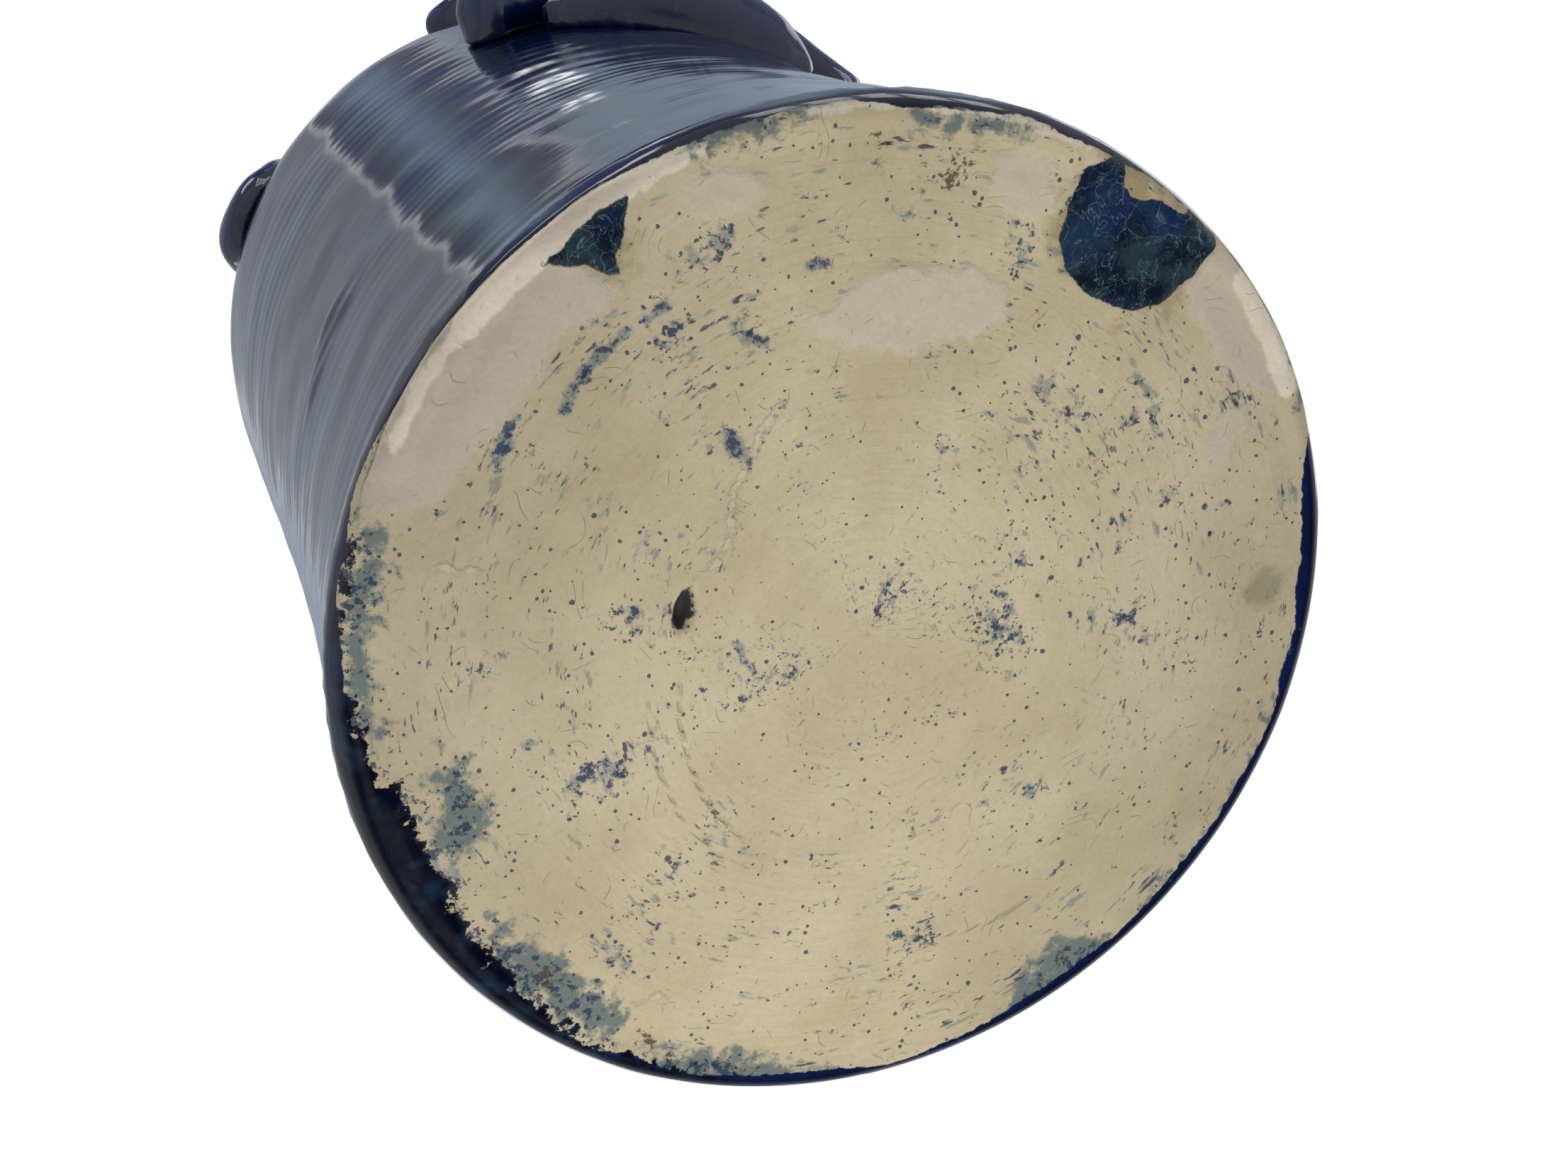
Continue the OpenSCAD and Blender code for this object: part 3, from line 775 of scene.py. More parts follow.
FOOT_MARKS: dict[Mark, tuple[Union[Patch, Stroke], ...]] = {
    Mark.TEAL: (
        Patch(
            ((10.4, -60.6), (10.1, -52.2), (11.7, -49.0), (15.4, -46.6), (21.9, -45.5), (26.1, -47.1),
             (29.4, -51.3), (31.5, -56.0), (28.0, -60.2), (23.3, -63.0), (16.8, -64.4))
        ),
        Patch(
            ((-51.0, -36.4), (-48.7, -39.2), (-45.5, -44.0), (-42.9, -45.9), (-42.3, -42.0), (-42.7, -39.2),
             (-41.1, -36.6), (-45.5, -37.6))
        ),
    ),
    Mark.NAVY: (
        Patch(
            ((-65.3, -5.6), (-64.2, -0.9), (-64.2, 4.7), (-63.8, 10.3), (-62.5, 14.0), (-60.8, 16.8),
             (-58.6, 21.0), (-56.0, 25.2), (-52.4, 27.5), (-50.8, 30.3), (-49.3, 33.6), (-45.9, 36.4),
             (-44.2, 40.1), (-42.2, 43.1), (-38.7, 46.2), (-34.5, 50.4), (-28.9, 54.6), (-23.3, 58.0),
             (-19.1, 60.5), (-12.1, 61.8), (-0.9, 63.3), (0.9, 65.3), (-4.7, 68.1), (-32.7, 63.4),
             (-56.0, 42.9), (-67.2, 14.0))
        ),
    ),
    Mark.NOTCH: (
        Patch(
            ((15.4, -65.3), (16.3, -59.7), (18.2, -58.6), (21.9, -59.2), (25.7, -58.2), (27.5, -60.6),
             (24.3, -64.4))
        ),
    ),
    Mark.GROUND: (
        Patch(
            ((-37.3, -52.7), (-39.0, -49.3), (-42.0, -46.5), (-45.5, -42.9), (-49.0, -37.8), (-45.5, -37.1),
             (-41.4, -36.2), (-42.0, -32.7), (-46.5, -29.9), (-47.6, -26.1), (-49.0, -21.5), (-51.3, -17.7),
             (-54.1, -14.0), (-54.6, -10.3), (-56.9, -8.2), (-60.6, -6.5), (-64.4, -6.5), (-65.3, -17.7),
             (-61.6, -28.9), (-55.0, -38.3), (-47.6, -46.6))
        ),
        Patch(
            ((31.7, -56.0), (29.1, -49.9), (30.8, -47.1), (33.8, -45.5), (35.5, -42.9), (41.1, -39.9),
             (46.5, -39.4), (49.0, -42.0), (42.9, -49.4), (35.5, -55.0))
        ),
        Patch(
            ((-37.3, -48.0), (-33.6, -50.8), (-28.9, -51.5), (-26.9, -49.9), (-29.9, -47.1), (-35.9, -45.5))
        ),
        Patch(
            ((-20.5, -37.3), (-16.8, -37.8), (-14.0, -42.0), (-10.3, -44.3), (-4.7, -45.5), (0.9, -46.6),
             (4.7, -45.3), (6.1, -42.0), (3.7, -39.2), (-0.9, -37.3), (-5.6, -35.0), (-10.3, -34.1),
             (-14.9, -35.0))
        ),
        Patch(
            ((-0.5, -59.7), (3.7, -61.1), (7.0, -60.2), (7.7, -56.0), (6.1, -53.6), (1.9, -54.1),
             (-0.5, -56.0))
        ),
        Patch(((40.1, -36.9), (43.4, -37.8), (44.0, -34.5), (42.5, -29.9), (40.6, -28.0), (39.4, -31.7))),
    ),
    Mark.HAZE: (
        Patch(
            ((-49.9, 19.6), (-47.6, 21.0), (-44.8, 23.3), (-42.0, 27.1), (-42.9, 33.6), (-44.8, 36.4),
             (-47.6, 33.6), (-49.0, 28.0))
        ),
        Patch(
            ((-39.7, 41.1), (-36.4, 41.5), (-35.5, 43.9), (-29.9, 45.3), (-25.7, 48.5), (-17.7, 54.1),
             (-18.7, 58.8), (-25.2, 56.9), (-32.7, 52.2), (-37.3, 48.5))
        ),
        Patch(
            ((36.4, 47.6), (38.3, 42.9), (42.0, 38.7), (46.6, 37.3), (51.3, 40.1), (46.6, 47.6),
             (40.1, 52.2), (35.5, 51.3))
        ),
        Patch(
            ((-14.9, 59.2), (-4.7, 58.6), (1.9, 59.5), (9.3, 61.1), (19.6, 60.8), (28.0, 58.0),
             (35.5, 53.6), (40.1, 54.6), (32.7, 63.4), (14.0, 68.1), (-12.1, 66.2))
        ),
        Patch(
            ((49.9, -40.1), (54.6, -34.5), (58.8, -25.7), (61.8, -15.9), (63.1, -4.7), (62.3, 6.5),
             (60.5, 16.8), (57.7, 24.3), (53.6, 30.8), (50.4, 35.5), (55.0, 36.4), (66.2, 18.7),
             (68.1, -4.7), (61.6, -28.0), (52.2, -42.0))
        ),
        Patch(
            ((-39.2, -53.6), (-35.5, -56.9), (-29.9, -59.5), (-24.7, -60.8), (-23.3, -58.8), (-28.9, -56.0),
             (-34.5, -52.2), (-38.3, -50.8))
        ),
        Patch(((-14.0, -62.5), (-4.7, -64.0), (3.7, -64.0), (2.8, -62.0), (-5.6, -61.2), (-13.1, -60.3))),
        Patch(
            ((-64.2, -5.6), (-61.6, -5.6), (-59.9, -0.9), (-59.5, 4.7), (-60.1, 9.3), (-58.8, 14.0),
             (-56.0, 19.6), (-59.7, 19.6), (-62.5, 12.1), (-64.4, 4.7))
        ),
    ),
    Mark.RUST: (
        spot((-15.9, -57.8), 2.1),
        spot((-5.6, -56.9), 3.3),
        spot((-29.9, 26.1), 0.8),
        spot((-29.9, 49.9), 2.8),
        spot((-14.9, 57.8), 2.8),
        spot((42.0, 42.5), 2.1),
    ),
    Mark.GREEN: (
        spot((55.0, -14.0), 2.8),
    ),
    Mark.DASH: (
        Stroke(0.8, ((-27.1, -34.5), (-25.2, -33.4), (-22.9, -33.0))),
        Stroke(0.9, ((-44.3, -21.5), (-43.9, -24.3), (-42.0, -28.0), (-39.7, -30.8))),
        Stroke(0.8, ((-37.8, -32.7), (-35.6, -35.3))),
        Stroke(0.6, ((-20.5, -42.4), (-18.1, -43.7))),
        Stroke(0.6, ((24.7, -38.4), (29.1, -36.2))),
        Stroke(1.1, ((-50.8, -14.0), (-49.8, -19.1))),
        Stroke(1.2, ((-25.0, -21.9), (-21.5, -19.1))),
        Stroke(0.7, ((-17.0, 3.3), (-13.4, 7.0))),
        Stroke(0.5, ((-11.9, -51.3), (-9.3, -50.8))),
        Stroke(0.5, ((16.8, -31.9), (21.5, -31.7))),
        Stroke(0.25, ((-18.8, -26.5), (-19.9, -23.3), (-20.8, -19.6))),
        Stroke(0.2, ((-15.4, 24.3), (-10.3, 28.0), (-8.8, 29.1))),
    ),
    Mark.SCAR: (
        Stroke(0.5, 
            ((-19.1, -26.3), (-20.3, -23.3), (-21.5, -17.7), (-22.0, -14.0), (-20.9, -9.3), (-22.2, -5.6))
        ),
        Stroke(0.4, ((-54.3, -1.1), (-52.2, -0.7), (-49.9, -1.3))),
        Stroke(0.4, ((-17.7, 53.2), (-14.9, 51.3), (-12.9, 52.4))),
    ),
    Mark.GROOVE: (
        Stroke(0.28, 
            ((-22.6, 9.3), (-21.5, 14.0), (-19.1, 18.7), (-15.4, 24.3), (-10.3, 28.0), (-8.8, 29.1))
        ),
        Stroke(0.25, ((-26.1, 12.1), (-23.3, 19.6), (-17.7, 27.1), (-11.2, 31.7))),
        Stroke(0.25, ((17.7, 40.6), (24.3, 40.1), (30.8, 37.3), (34.5, 33.6))),
    ),
    Mark.PIT: (
        Patch(
            ((-25.2, -2.1), (-24.3, -2.8), (-23.5, -1.1), (-23.0, 0.2), (-23.2, 1.9), (-24.4, 2.8),
             (-25.6, 1.7), (-25.8, -0.2))
        ),
    ),
    Mark.CHAMFER: (
        Stroke(1.9, ((-37.1, -53.2), (-42.9, -48.1), (-49.0, -41.3), (-54.1, -33.9), (-56.9, -28.9))),
        Stroke(0.7, ((-56.9, -28.9), (-60.3, -21.5), (-62.1, -14.0))),
        Stroke(0.6, ((-25.2, -59.5), (-14.0, -62.9), (-0.9, -64.2), (10.3, -63.4))),
        Stroke(1.6, ((37.3, -52.2), (43.4, -46.6), (48.0, -40.9))),
    ),
}


@dataclass(frozen=True)
class Swelling:
    """A place where the wall stands out or is dented, sized in millimetres."""

    angle: float
    height: float
    half_width: float
    half_height: float
    rise: float

    def at(self, angles: Array, heights: Array, wall_r: float) -> Array:
        """Height of the swelling at angles round the jug, in degrees, and heights up it."""
        x = np.radians((angles - self.angle + 180) % 360 - 180) * wall_r / self.half_width
        y = (heights - self.height) / self.half_height
        return self.rise * np.exp(-(x * x) - y * y)


class Outline(NamedTuple):
    """Section of the thrown body: radius and height a point, with the zone of each."""

    points: Array
    zones: Array


def run(start: Pair, end: Pair, step: float) -> Array:
    """Points along a straight, about a step apart."""
    count = max(1, round(math.dist(start, end) / step))
    return np.linspace(start, end, count + 1)


def sweep(centre: Pair, radius: float, start: float, end: float, step: float) -> Array:
    """Points along an arc.

    Args:
        centre: Centre of the arc.
        radius: Its radius.
        start: Angle at which it starts, in degrees.
        end: Angle at which it ends.
        step: Distance between two points, about.

    Returns:
        The points, one to a row.
    """
    count = max(2, round(abs(math.radians(end - start)) * radius / step))
    angles = np.radians(np.linspace(start, end, count + 1))
    return np.column_stack([centre[0] + radius * np.cos(angles), centre[1] + radius * np.sin(angles)])


@dataclass(frozen=True)
class JugProfile:
    """Sizes of the thrown body, as the solids have them."""

    foot_d: float = 131.0
    wall_d: float = 123.2
    flare_h: float = 95.0
    wall_h: float = 156.0
    shoulder_r: float = 51.0
    wall_t: float = 7.0
    floor_t: float = 9.0
    foot_round: float = 2.5
    floor_round: float = 14.0
    jug_h: float = 238.0
    neck_d: float = 48.0
    mouth_d: float = 34.0
    lip_t: float = 9.0
    neck_round: float = 9.0

    @property
    def wall_r(self) -> float:
        """Radius of the upright wall."""
        return self.wall_d / 2

    @property
    def flare(self) -> Pair:
        """Radius of the flare's arc, and the distance of its centre from the axis."""
        rise = (self.foot_d - self.wall_d) / 2
        radius = (self.flare_h**2 + rise**2) / (2 * rise)
        return radius, self.wall_r + radius

    def flare_points(self, heights: Array, inset: float) -> Array:
        """Points of the flare at heights, a distance inside the outer skin."""
        radius, centre = self.flare
        across = centre - np.sqrt((radius + inset) ** 2 - (self.flare_h - heights) ** 2)
        return np.column_stack([across, heights])

    def corner(self, inset: float, base: float, round_r: float) -> Triple:
        """Round between a level and the flare.

        Args:
            inset: How far inside the outer skin the flare runs.
            base: Height of the level.
            round_r: Radius of the round.

        Returns:
            Distance of the round's centre from the axis, the angle at which it meets the flare, and
            the height there.
        """
        radius, centre = self.flare
        rise = self.flare_h - base - round_r
        x = centre - math.sqrt((radius + inset + round_r) ** 2 - rise**2)
        angle = math.atan2(rise, centre - x)
        return x, math.degrees(angle), base + round_r * (1 + math.sin(angle))

    def outline(self) -> Outline:
        """Whole section, from the middle of the underside out, over the lip and down inside.

        Returns:
            The section, with no point twice.
        """
        shoulder_x = self.wall_r - self.shoulder_r
        neck_r, mouth_r, lip_r = self.neck_d / 2, self.mouth_d / 2, self.lip_t / 2
        inner_r, inside_r = self.wall_r - self.wall_t, self.shoulder_r - self.wall_t
        shoulder = (shoulder_x, self.wall_h)
        hollow_x = neck_r + self.neck_round
        hollow_rise = math.sqrt((self.shoulder_r + self.neck_round) ** 2 - (hollow_x - shoulder_x) ** 2)
        hollow = (hollow_x, self.wall_h + hollow_rise)
        hollow_angle = math.degrees(math.atan2(hollow_rise, hollow_x - shoulder_x))
        lip = (mouth_r + lip_r, self.jug_h - lip_r)
        lip_low = math.sqrt(lip_r**2 - (neck_r - lip[0]) ** 2)
        lip_angle = math.degrees(math.acos((neck_r - lip[0]) / lip_r))
        ceiling_rise = math.sqrt(inside_r**2 - (mouth_r - shoulder_x) ** 2)
        ceiling_angle = math.degrees(math.atan2(ceiling_rise, mouth_r - shoulder_x))
        foot_x, foot_angle, foot_top = self.corner(0, 0, self.foot_round)
        floor_x, floor_angle, floor_top = self.corner(self.wall_t, self.floor_t, self.floor_round)
        floor_round = (floor_x, self.floor_t + self.floor_round)
        parts = (
            (Zone.BASE, run((0.7, 0), (foot_x, 0), 0.7)),
            (Zone.FOOT, sweep((foot_x, self.foot_round), self.foot_round, -90, foot_angle, 0.45)),
            (Zone.WALL, self.flare_points(np.linspace(foot_top, self.flare_h, 95), 0)),
            (Zone.WALL, run((self.wall_r, self.flare_h), (self.wall_r, self.wall_h), 1.0)),
            (Zone.SHOULDER, sweep(shoulder, self.shoulder_r, 0, hollow_angle, 1.2)),
            (Zone.NECK, sweep(hollow, self.neck_round, hollow_angle + 180, 180, 0.9)),
            (Zone.NECK, run((neck_r, hollow[1]), (neck_r, lip[1] - lip_low), 1.0)),
            (Zone.LIP, sweep(lip, lip_r, -lip_angle, 180, 0.7)),
            (Zone.INSIDE, run((mouth_r, lip[1]), (mouth_r, self.wall_h + ceiling_rise), 2.0)),
            (Zone.INSIDE, sweep(shoulder, inside_r, ceiling_angle, 0, 4.0)),
            (Zone.INSIDE, run((inner_r, self.wall_h), (inner_r, self.flare_h), 6.0)),
            (Zone.INSIDE, self.flare_points(np.linspace(self.flare_h, floor_top, 16), self.wall_t)),
            (Zone.INSIDE, sweep(floor_round, self.floor_round, floor_angle, -90, 2.0)),
            (Zone.INSIDE, run((floor_x, self.floor_t), (3.0, self.floor_t), 5.0)),
        )
        points = np.vstack([part for _, part in parts])
        zones = np.concatenate([[zone.value] * len(part) for zone, part in parts])
        fresh = np.ones(len(points), bool)
        fresh[1:] = np.linalg.norm(np.diff(points, axis=0), axis=1) > 1e-3
        return Outline(points[fresh], zones[fresh])


@dataclass(frozen=True)
class WallGauge:
    """Tells how far points stand off the outside of the thrown body, and which way is out."""

    profile: JugProfile

    def read(self, points_mm: Array) -> tuple[Array, Array]:
        """Distance and direction off the body.

        Args:
            points_mm: Points, one to a row.

        Returns:
            The distance of each, in millimetres, and the unit vector out of the wall there.
        """
        outline = self.profile.outline()
        outer = outline.points[(outline.zones >= Zone.FOOT.value) & (outline.zones <= Zone.NECK.value)]
        radius = np.linalg.norm(points_mm[:, :2], axis=1)
        flat = np.column_stack([radius, points_mm[:, 2]])
        best = np.full(len(flat), np.inf)
        way, near = np.zeros_like(flat), np.zeros_like(flat)
        for a, b in zip(outer[:-1], outer[1:]):
            side = b - a
            t = np.clip(((flat - a) @ side) / (side @ side), 0, 1)
            foot = a + t[:, None] * side
            gap = np.linalg.norm(flat - foot, axis=1)
            closer = gap < best
            best = np.where(closer, gap, best)
            near[closer] = foot[closer]
            way[closer] = np.array([side[1], -side[0]]) / np.linalg.norm(side)
        lift = ((flat - near) * way).sum(1)
        spin = points_mm[:, :2] / np.maximum(radius, 1e-6)[:, None]
        return lift, np.column_stack([spin * way[:, :1], way[:, 1]])


def add_object(name: str, data: bpy.types.ID) -> Object:
    """Adds an object to the scene."""
    obj = bpy.data.objects.new(name, data)
    bpy.context.scene.collection.objects.link(obj)
    return obj


def read_vectors(items: bpy.types.bpy_prop_collection, name: str) -> Array:
    """One vector of each item of a mesh, such as the place of a vertex."""
    flat = np.empty(len(items) * 3, np.float32)
    items.foreach_get(name, flat)
    return flat.reshape(-1, 3).astype(float)


def write_values(mesh: Mesh, name: str, values: Array) -> None:
    """Keeps one value a vertex on a mesh, for its material."""
    layer = mesh.attributes.new(name, "FLOAT", "POINT")
    layer.data.foreach_set("value", values.astype(np.float32))


def finish_piece(obj: Object, material: Material, node: str) -> None:
    """Gives a piece its finish, ties it to the jug and reports it.

    Args:
        obj: The piece, in its place.
        material: Its finish.
        node: The solid that it stands for.
    """
    mesh = obj.data
    mesh.polygons.foreach_set("use_smooth", np.ones(len(mesh.polygons), bool))
    mesh.update()
    mesh.materials.clear()
    mesh.materials.append(material)
    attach(obj, "root")
    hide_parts(node)
    LOG.info("%s: %d faces, for %s", obj.name, len(mesh.polygons), node)


@dataclass
class BodyPoints:
    """Points of the thrown body, ring by ring, in millimetres, with their place in it.

    Each has a zone, an angle round the jug, a distance along the section and, for each kind of
    mark on the underside, a distance inside it.
    """

    places: Array
    zone: Array
    angle: Array
    along: Array

    def __post_init__(self) -> None:
        """Works out how far each point lies inside each kind of mark."""
        low = (self.zone <= Zone.WALL.value) & (self.places[:, 2] < MARKS_TOP_MM)
        near = self.places[low]
        fade = 3 * np.maximum(near[:, 2] - 1.0, 0)
        self.marks = {mark: np.full(len(self.places), -FAR_MM) for mark in Mark}
        for mark, shapes in FOOT_MARKS.items():
            reaches = [self.marks[mark][low], *(shape.reach(near[:, :2]) - fade for shape in shapes)]
            self.marks[mark][low] = np.max(reaches, axis=0)

    @property
    def level(self) -> Array:
        """The points laid on the ground, for unevenness that runs straight up."""
        return self.places * [1, 1, 0]

    @property
    def radius(self) -> Array:
        """Distance of each point from the axis."""
        return np.linalg.norm(self.places[:, :2], axis=1)

    def within(self, first: Zone, last: Zone) -> Array:
        """Which points lie from one zone to another."""
        return (self.zone >= first.value) & (self.zone <= last.value)


@dataclass(frozen=True)
class ThrownBody:
    """The thrown jug itself: underside, foot, wall, shoulder, neck, lip and inside."""

    profile: JugProfile
    around: int = 300
    ridge_mm: float = 0.06
    ring_pitch_mm: float = 4.6
    fine_pitch_mm: float = 1.9
    trim_pitch_mm: float = 1.7
    bead_h_mm: float = 4.6
    bead_mm: float = 0.4
    hollow_mm: float = 0.42
    bare_edge_mm: float = 1.3
    bare_spans: tuple[Triple, ...] = ((-61, 25, 1.6), (39, 13, 1.4), (130, 72, -2.2))
    swellings: tuple[Swelling, ...] = (
        Swelling(8, 108, 17, 13, 1.5),
        Swelling(-84, 56, 4.0, 1.3, 0.45),
        Swelling(-80, 60, 5.0, 1.2, 0.4),
        Swelling(-77, 64, 4.0, 1.3, 0.45),
        Swelling(-74, 59, 3.0, 1.2, 0.35),
    )

    def build(self, material: Material) -> None:
        """Builds the body and dresses it.

        Args:
            material: Finish of the whole body.
        """
        outline = self.profile.outline()
        rings = len(outline.points)
        angles = np.arange(self.around) * 360 / self.around
        turn = np.radians(angles)
        way = np.tile(np.column_stack([np.sin(turn), -np.cos(turn)]), (rings, 1))
        tangent = np.gradient(outline.points, axis=0)
        tangent /= np.linalg.norm(tangent, axis=1, keepdims=True)
        path = np.concatenate([[0], np.cumsum(np.linalg.norm(np.diff(outline.points, axis=0), axis=1))])
        radius, height, out, up, zone, along = (
            np.repeat(values, self.around)
            for values in (*outline.points.T, tangent[:, 1], -tangent[:, 0], outline.zones, path)
        )
        places = np.column_stack([way * radius[:, None], height])
        body = BodyPoints(places, zone, np.tile(angles, rings), along)
        bare = self.bare(body, path[np.argmax(outline.zones == Zone.FOOT.value)])
        push, crest = self.thrown_relief(body)
        push += self.foot_relief(body)
        body.places += np.column_stack([way * out[:, None], up]) * push[:, None]
        body.places[:, 2] += self.ground_off(body)
        low = body.within(Zone.BASE, Zone.FOOT)
        body.places[low, 2] = np.maximum(body.places[low, 2], 0)
        obj = self.skin(body.places, rings)
        for mark, reach in body.marks.items():
            write_values(obj.data, mark.value, np.append(reach, [-FAR_MM, -FAR_MM]))
        write_values(obj.data, "bare_mm", np.append(bare, [FAR_MM, -FAR_MM]))
        write_values(obj.data, "crest", np.append(crest, [0, 0]))
        finish_piece(obj, material, "body")

    def bare(self, body: BodyPoints, foot_start: float) -> Array:
        """Distance of every point inside the bare clay, negative where it is glazed.

        Args:
            body: The points.
            foot_start: Where the round of the foot starts along the section.

        Returns:
            One distance a point, in millimetres.
        """
        uneven = Wander(9, 5).at(body.level) * 0.25 + Wander(30, 6).at(body.level) * 0.3
        edge = self.bare_edge_mm + uneven
        for middle, half_span, extra in self.bare_spans:
            off = np.abs((body.angle - middle + 180) % 360 - 180)
            edge += extra * (1 - smooth_step(off, half_span - 6, half_span + 4))
        return np.clip(edge - (body.along - foot_start), -FAR_MM, FAR_MM)

    def thrown_relief(self, body: BodyPoints) -> tuple[Array, Array]:
        """Rings that the thrower's fingers left, and the unevenness of the wall.

        Args:
            body: The points.

        Returns:
            How far each moves out, in millimetres, and how much of a crest each is, from 0 to 1.4.
        """
        places, along, turns = body.places, body.along, body.angle / 360
        height = places[:, 2]
        outside = body.within(Zone.FOOT, Zone.NECK)
        coils = along / self.ring_pitch_mm + 0.7 * np.sin(along / 17) + 0.4 * np.sin(along / 7.3 + 1)
        rings = 0.5 + 0.5 * np.cos(2 * np.pi * (coils + turns) + 0.5 * Wander(45, 11).at(places))
        coils = along / self.fine_pitch_mm
        fine = 0.5 + 0.5 * np.cos(2 * np.pi * (coils + turns) + 0.8 * Wander(30, 12).at(places))
        patchy = 0.65 + 0.35 * Wander(40, 13).at(places * [0.5, 0.5, 1])
        push = -self.ridge_mm * (1 - rings) * patchy - 0.012 * (1 - fine)
        push += 0.05 * Wander(14, 14).at(places) - 0.05
        push *= smooth_step(height, 3, 10)
        push = np.where(outside, push, 0)
        bead = np.exp(-(((height - self.bead_h_mm - 0.5 * Wander(12, 15).at(body.level)) / 1.9) ** 2))
        bead *= 1 + 0.12 * Wander(2.6, 17).at(places)
        push += np.where(body.within(Zone.FOOT, Zone.WALL), self.bead_mm * bead, 0)
        for swelling in self.swellings:
            swell = swelling.at(body.angle, height, self.profile.wall_r)
            push += np.where(body.within(Zone.WALL, Zone.WALL), swell, 0)
        hollow = body.within(Zone.INSIDE, Zone.INSIDE) & (height < self.profile.wall_h)
        push += np.where(hollow, 0.25 * Wander(9, 16).at(places * [0.15, 0.15, 1]), 0)
        crest = np.where(outside, 0.35 * rings * patchy, 0.3)
        crest += np.where(body.within(Zone.LIP, Zone.LIP), 0.9, 0)
        return push, np.clip(crest, 0, 1.4)

    def foot_relief(self, body: BodyPoints) -> Array:
        """Trimming rings, blots, cuts and the pit in the underside.

        Args:
            body: The points.

        Returns:
            How far each moves out of the underside, in millimetres.
        """
        ground, pit, notch = body.marks[Mark.GROUND], body.marks[Mark.PIT], body.marks[Mark.NOTCH]
        blots = np.maximum(body.marks[Mark.TEAL], body.marks[Mark.NAVY]) - FAR_MM * (notch > 0)
        trims = np.cos(body.radius / self.trim_pitch_mm * 2 * np.pi + Wander(35, 21).at(body.places))
        depth = -self.hollow_mm + 0.05 * trims * (1 - smooth_step(ground, -1, 1))
        depth += 0.06 * Wander(10, 22).at(body.places)
        depth += 0.12 * smooth_step(ground, -1.2, 1.0) + 0.30 * smooth_step(blots, -0.3, 1.6)
        depth += 0.15 * np.exp(-((pit + 0.9) ** 2)) - 2.0 * smooth_step(pit, -0.3, 1.1)
        foot_r = self.profile.foot_d / 2
        fade = 1 - smooth_step(body.radius, foot_r - 5, foot_r - 2.6)
        return np.where(body.within(Zone.BASE, Zone.BASE), depth * fade, 0)

    def ground_off(self, body: BodyPoints) -> Array:
        """How far the rim was ground back, in facets, where it is ground.

        Args:
            body: The points.

        Returns:
            How far each moves up, in millimetres.
        """
        foot_r = self.profile.foot_d / 2
        rim = smooth_step(body.radius, foot_r - 9, foot_r + 0.5)
        facets = np.abs(Wander(11, 31).at(body.level)) * 0.5 + np.abs(Wander(5, 32).at(body.level)) * 0.2
        lift = smooth_step(body.marks[Mark.GROUND], -0.5, 2.5) * rim * (0.7 + facets)
        return np.where(body.within(Zone.BASE, Zone.FOOT), lift, 0)

    def skin(self, points_mm: Array, rings: int) -> Object:
        """Closed mesh over the rings of points, with a pole at each end.

        Args:
            points_mm: Points, ring by ring.
            rings: Number of rings.

        Returns:
            The object.
        """
        side = np.arange(self.around)
        after = np.roll(side, -1)
        low = np.arange(rings - 1)[:, None] * self.around
        high = low + self.around
        quads = np.stack([low + side, low + after, high + after, high + side], axis=-1)
        faces = quads.reshape(-1, 4).tolist()
        pole, top = np.full(self.around, len(points_mm)), (rings - 1) * self.around
        faces += np.column_stack([pole, after, side]).tolist()
        faces += np.column_stack([pole + 1, top + side, top + after]).tolist()
        ends = (points_mm[: self.around], points_mm[-self.around :])
        poles = [[0, 0, end[:, 2].mean()] for end in ends]
        mesh = bpy.data.meshes.new("thrown_body")
        mesh.from_pydata((np.vstack([points_mm, poles]) * MM).tolist(), [], faces)
        return add_object("thrown_body", mesh)


@dataclass(frozen=True)
class Modelling:
    """How the hands work one kind of clay piece, in millimetres."""

    voxel: float = 0.7
    rounds: int = 6
    flare: float = 1.4
    flare_h: float = 2.6
    sink: float = 0.6
    wobble: float = 0.12
    wobble_size: float = 9.0


@dataclass(frozen=True)
class ClayPiece:
    """A piece of clay formed by hand and pressed onto the jug, over its solid."""

    node: str
    gauge: WallGauge
    hands: Modelling

    def build(self, source: Object, material: Material, slot: str) -> None:
        """Forms the piece over its solid, works its edge into the wall and dresses it.

        Args:
            source: The solid's object.
            material: Finish of the piece.
            slot: Material slot of the record; not used.
        """
        obj = self.soften(source)
        mesh, hands = obj.data, self.hands
        points = read_vectors(mesh.vertices, "co") / MM
        normals = read_vectors(mesh.vertex_normals, "vector")
        lift, out = self.gauge.read(points)
        near = np.clip(1 - lift / hands.flare_h, 0, 1) ** 2
        sideways = normals - (normals * out).sum(1)[:, None] * out
        points += sideways * (hands.flare * near)[:, None] - out * (hands.sink * near)[:, None]
        wobble = Wander(hands.wobble_size, sum(map(ord, self.node))).at(points)
        points += normals * (hands.wobble * wobble * (1 - near))[:, None]
        mesh.vertices.foreach_set("co", (points * MM).astype(np.float32).ravel())
        write_values(mesh, "lift_mm", np.maximum(lift, 0))
        finish_piece(obj, material, self.node)

    def soften(self, source: Object) -> Object:
        """A fine, rounded copy of the solid's mesh, as an object of its own.

        Args:
            source: The solid's object.

        Returns:
            The copy.
        """
        draft = add_object(self.node + "_draft", source.data.copy())
        grid = draft.modifiers.new("grid", "REMESH")
        grid.mode = "VOXEL"
        grid.voxel_size = self.hands.voxel * MM
        rounding = draft.modifiers.new("rounding", "SMOOTH")
        rounding.factor = 0.5
        rounding.iterations = self.hands.rounds
        state = bpy.context.evaluated_depsgraph_get()
        mesh = bpy.data.meshes.new_from_object(draft.evaluated_get(state))
        bpy.data.objects.remove(draft)
        name = self.node + "_clay"
        mesh.name = name
        return add_object(name, mesh)


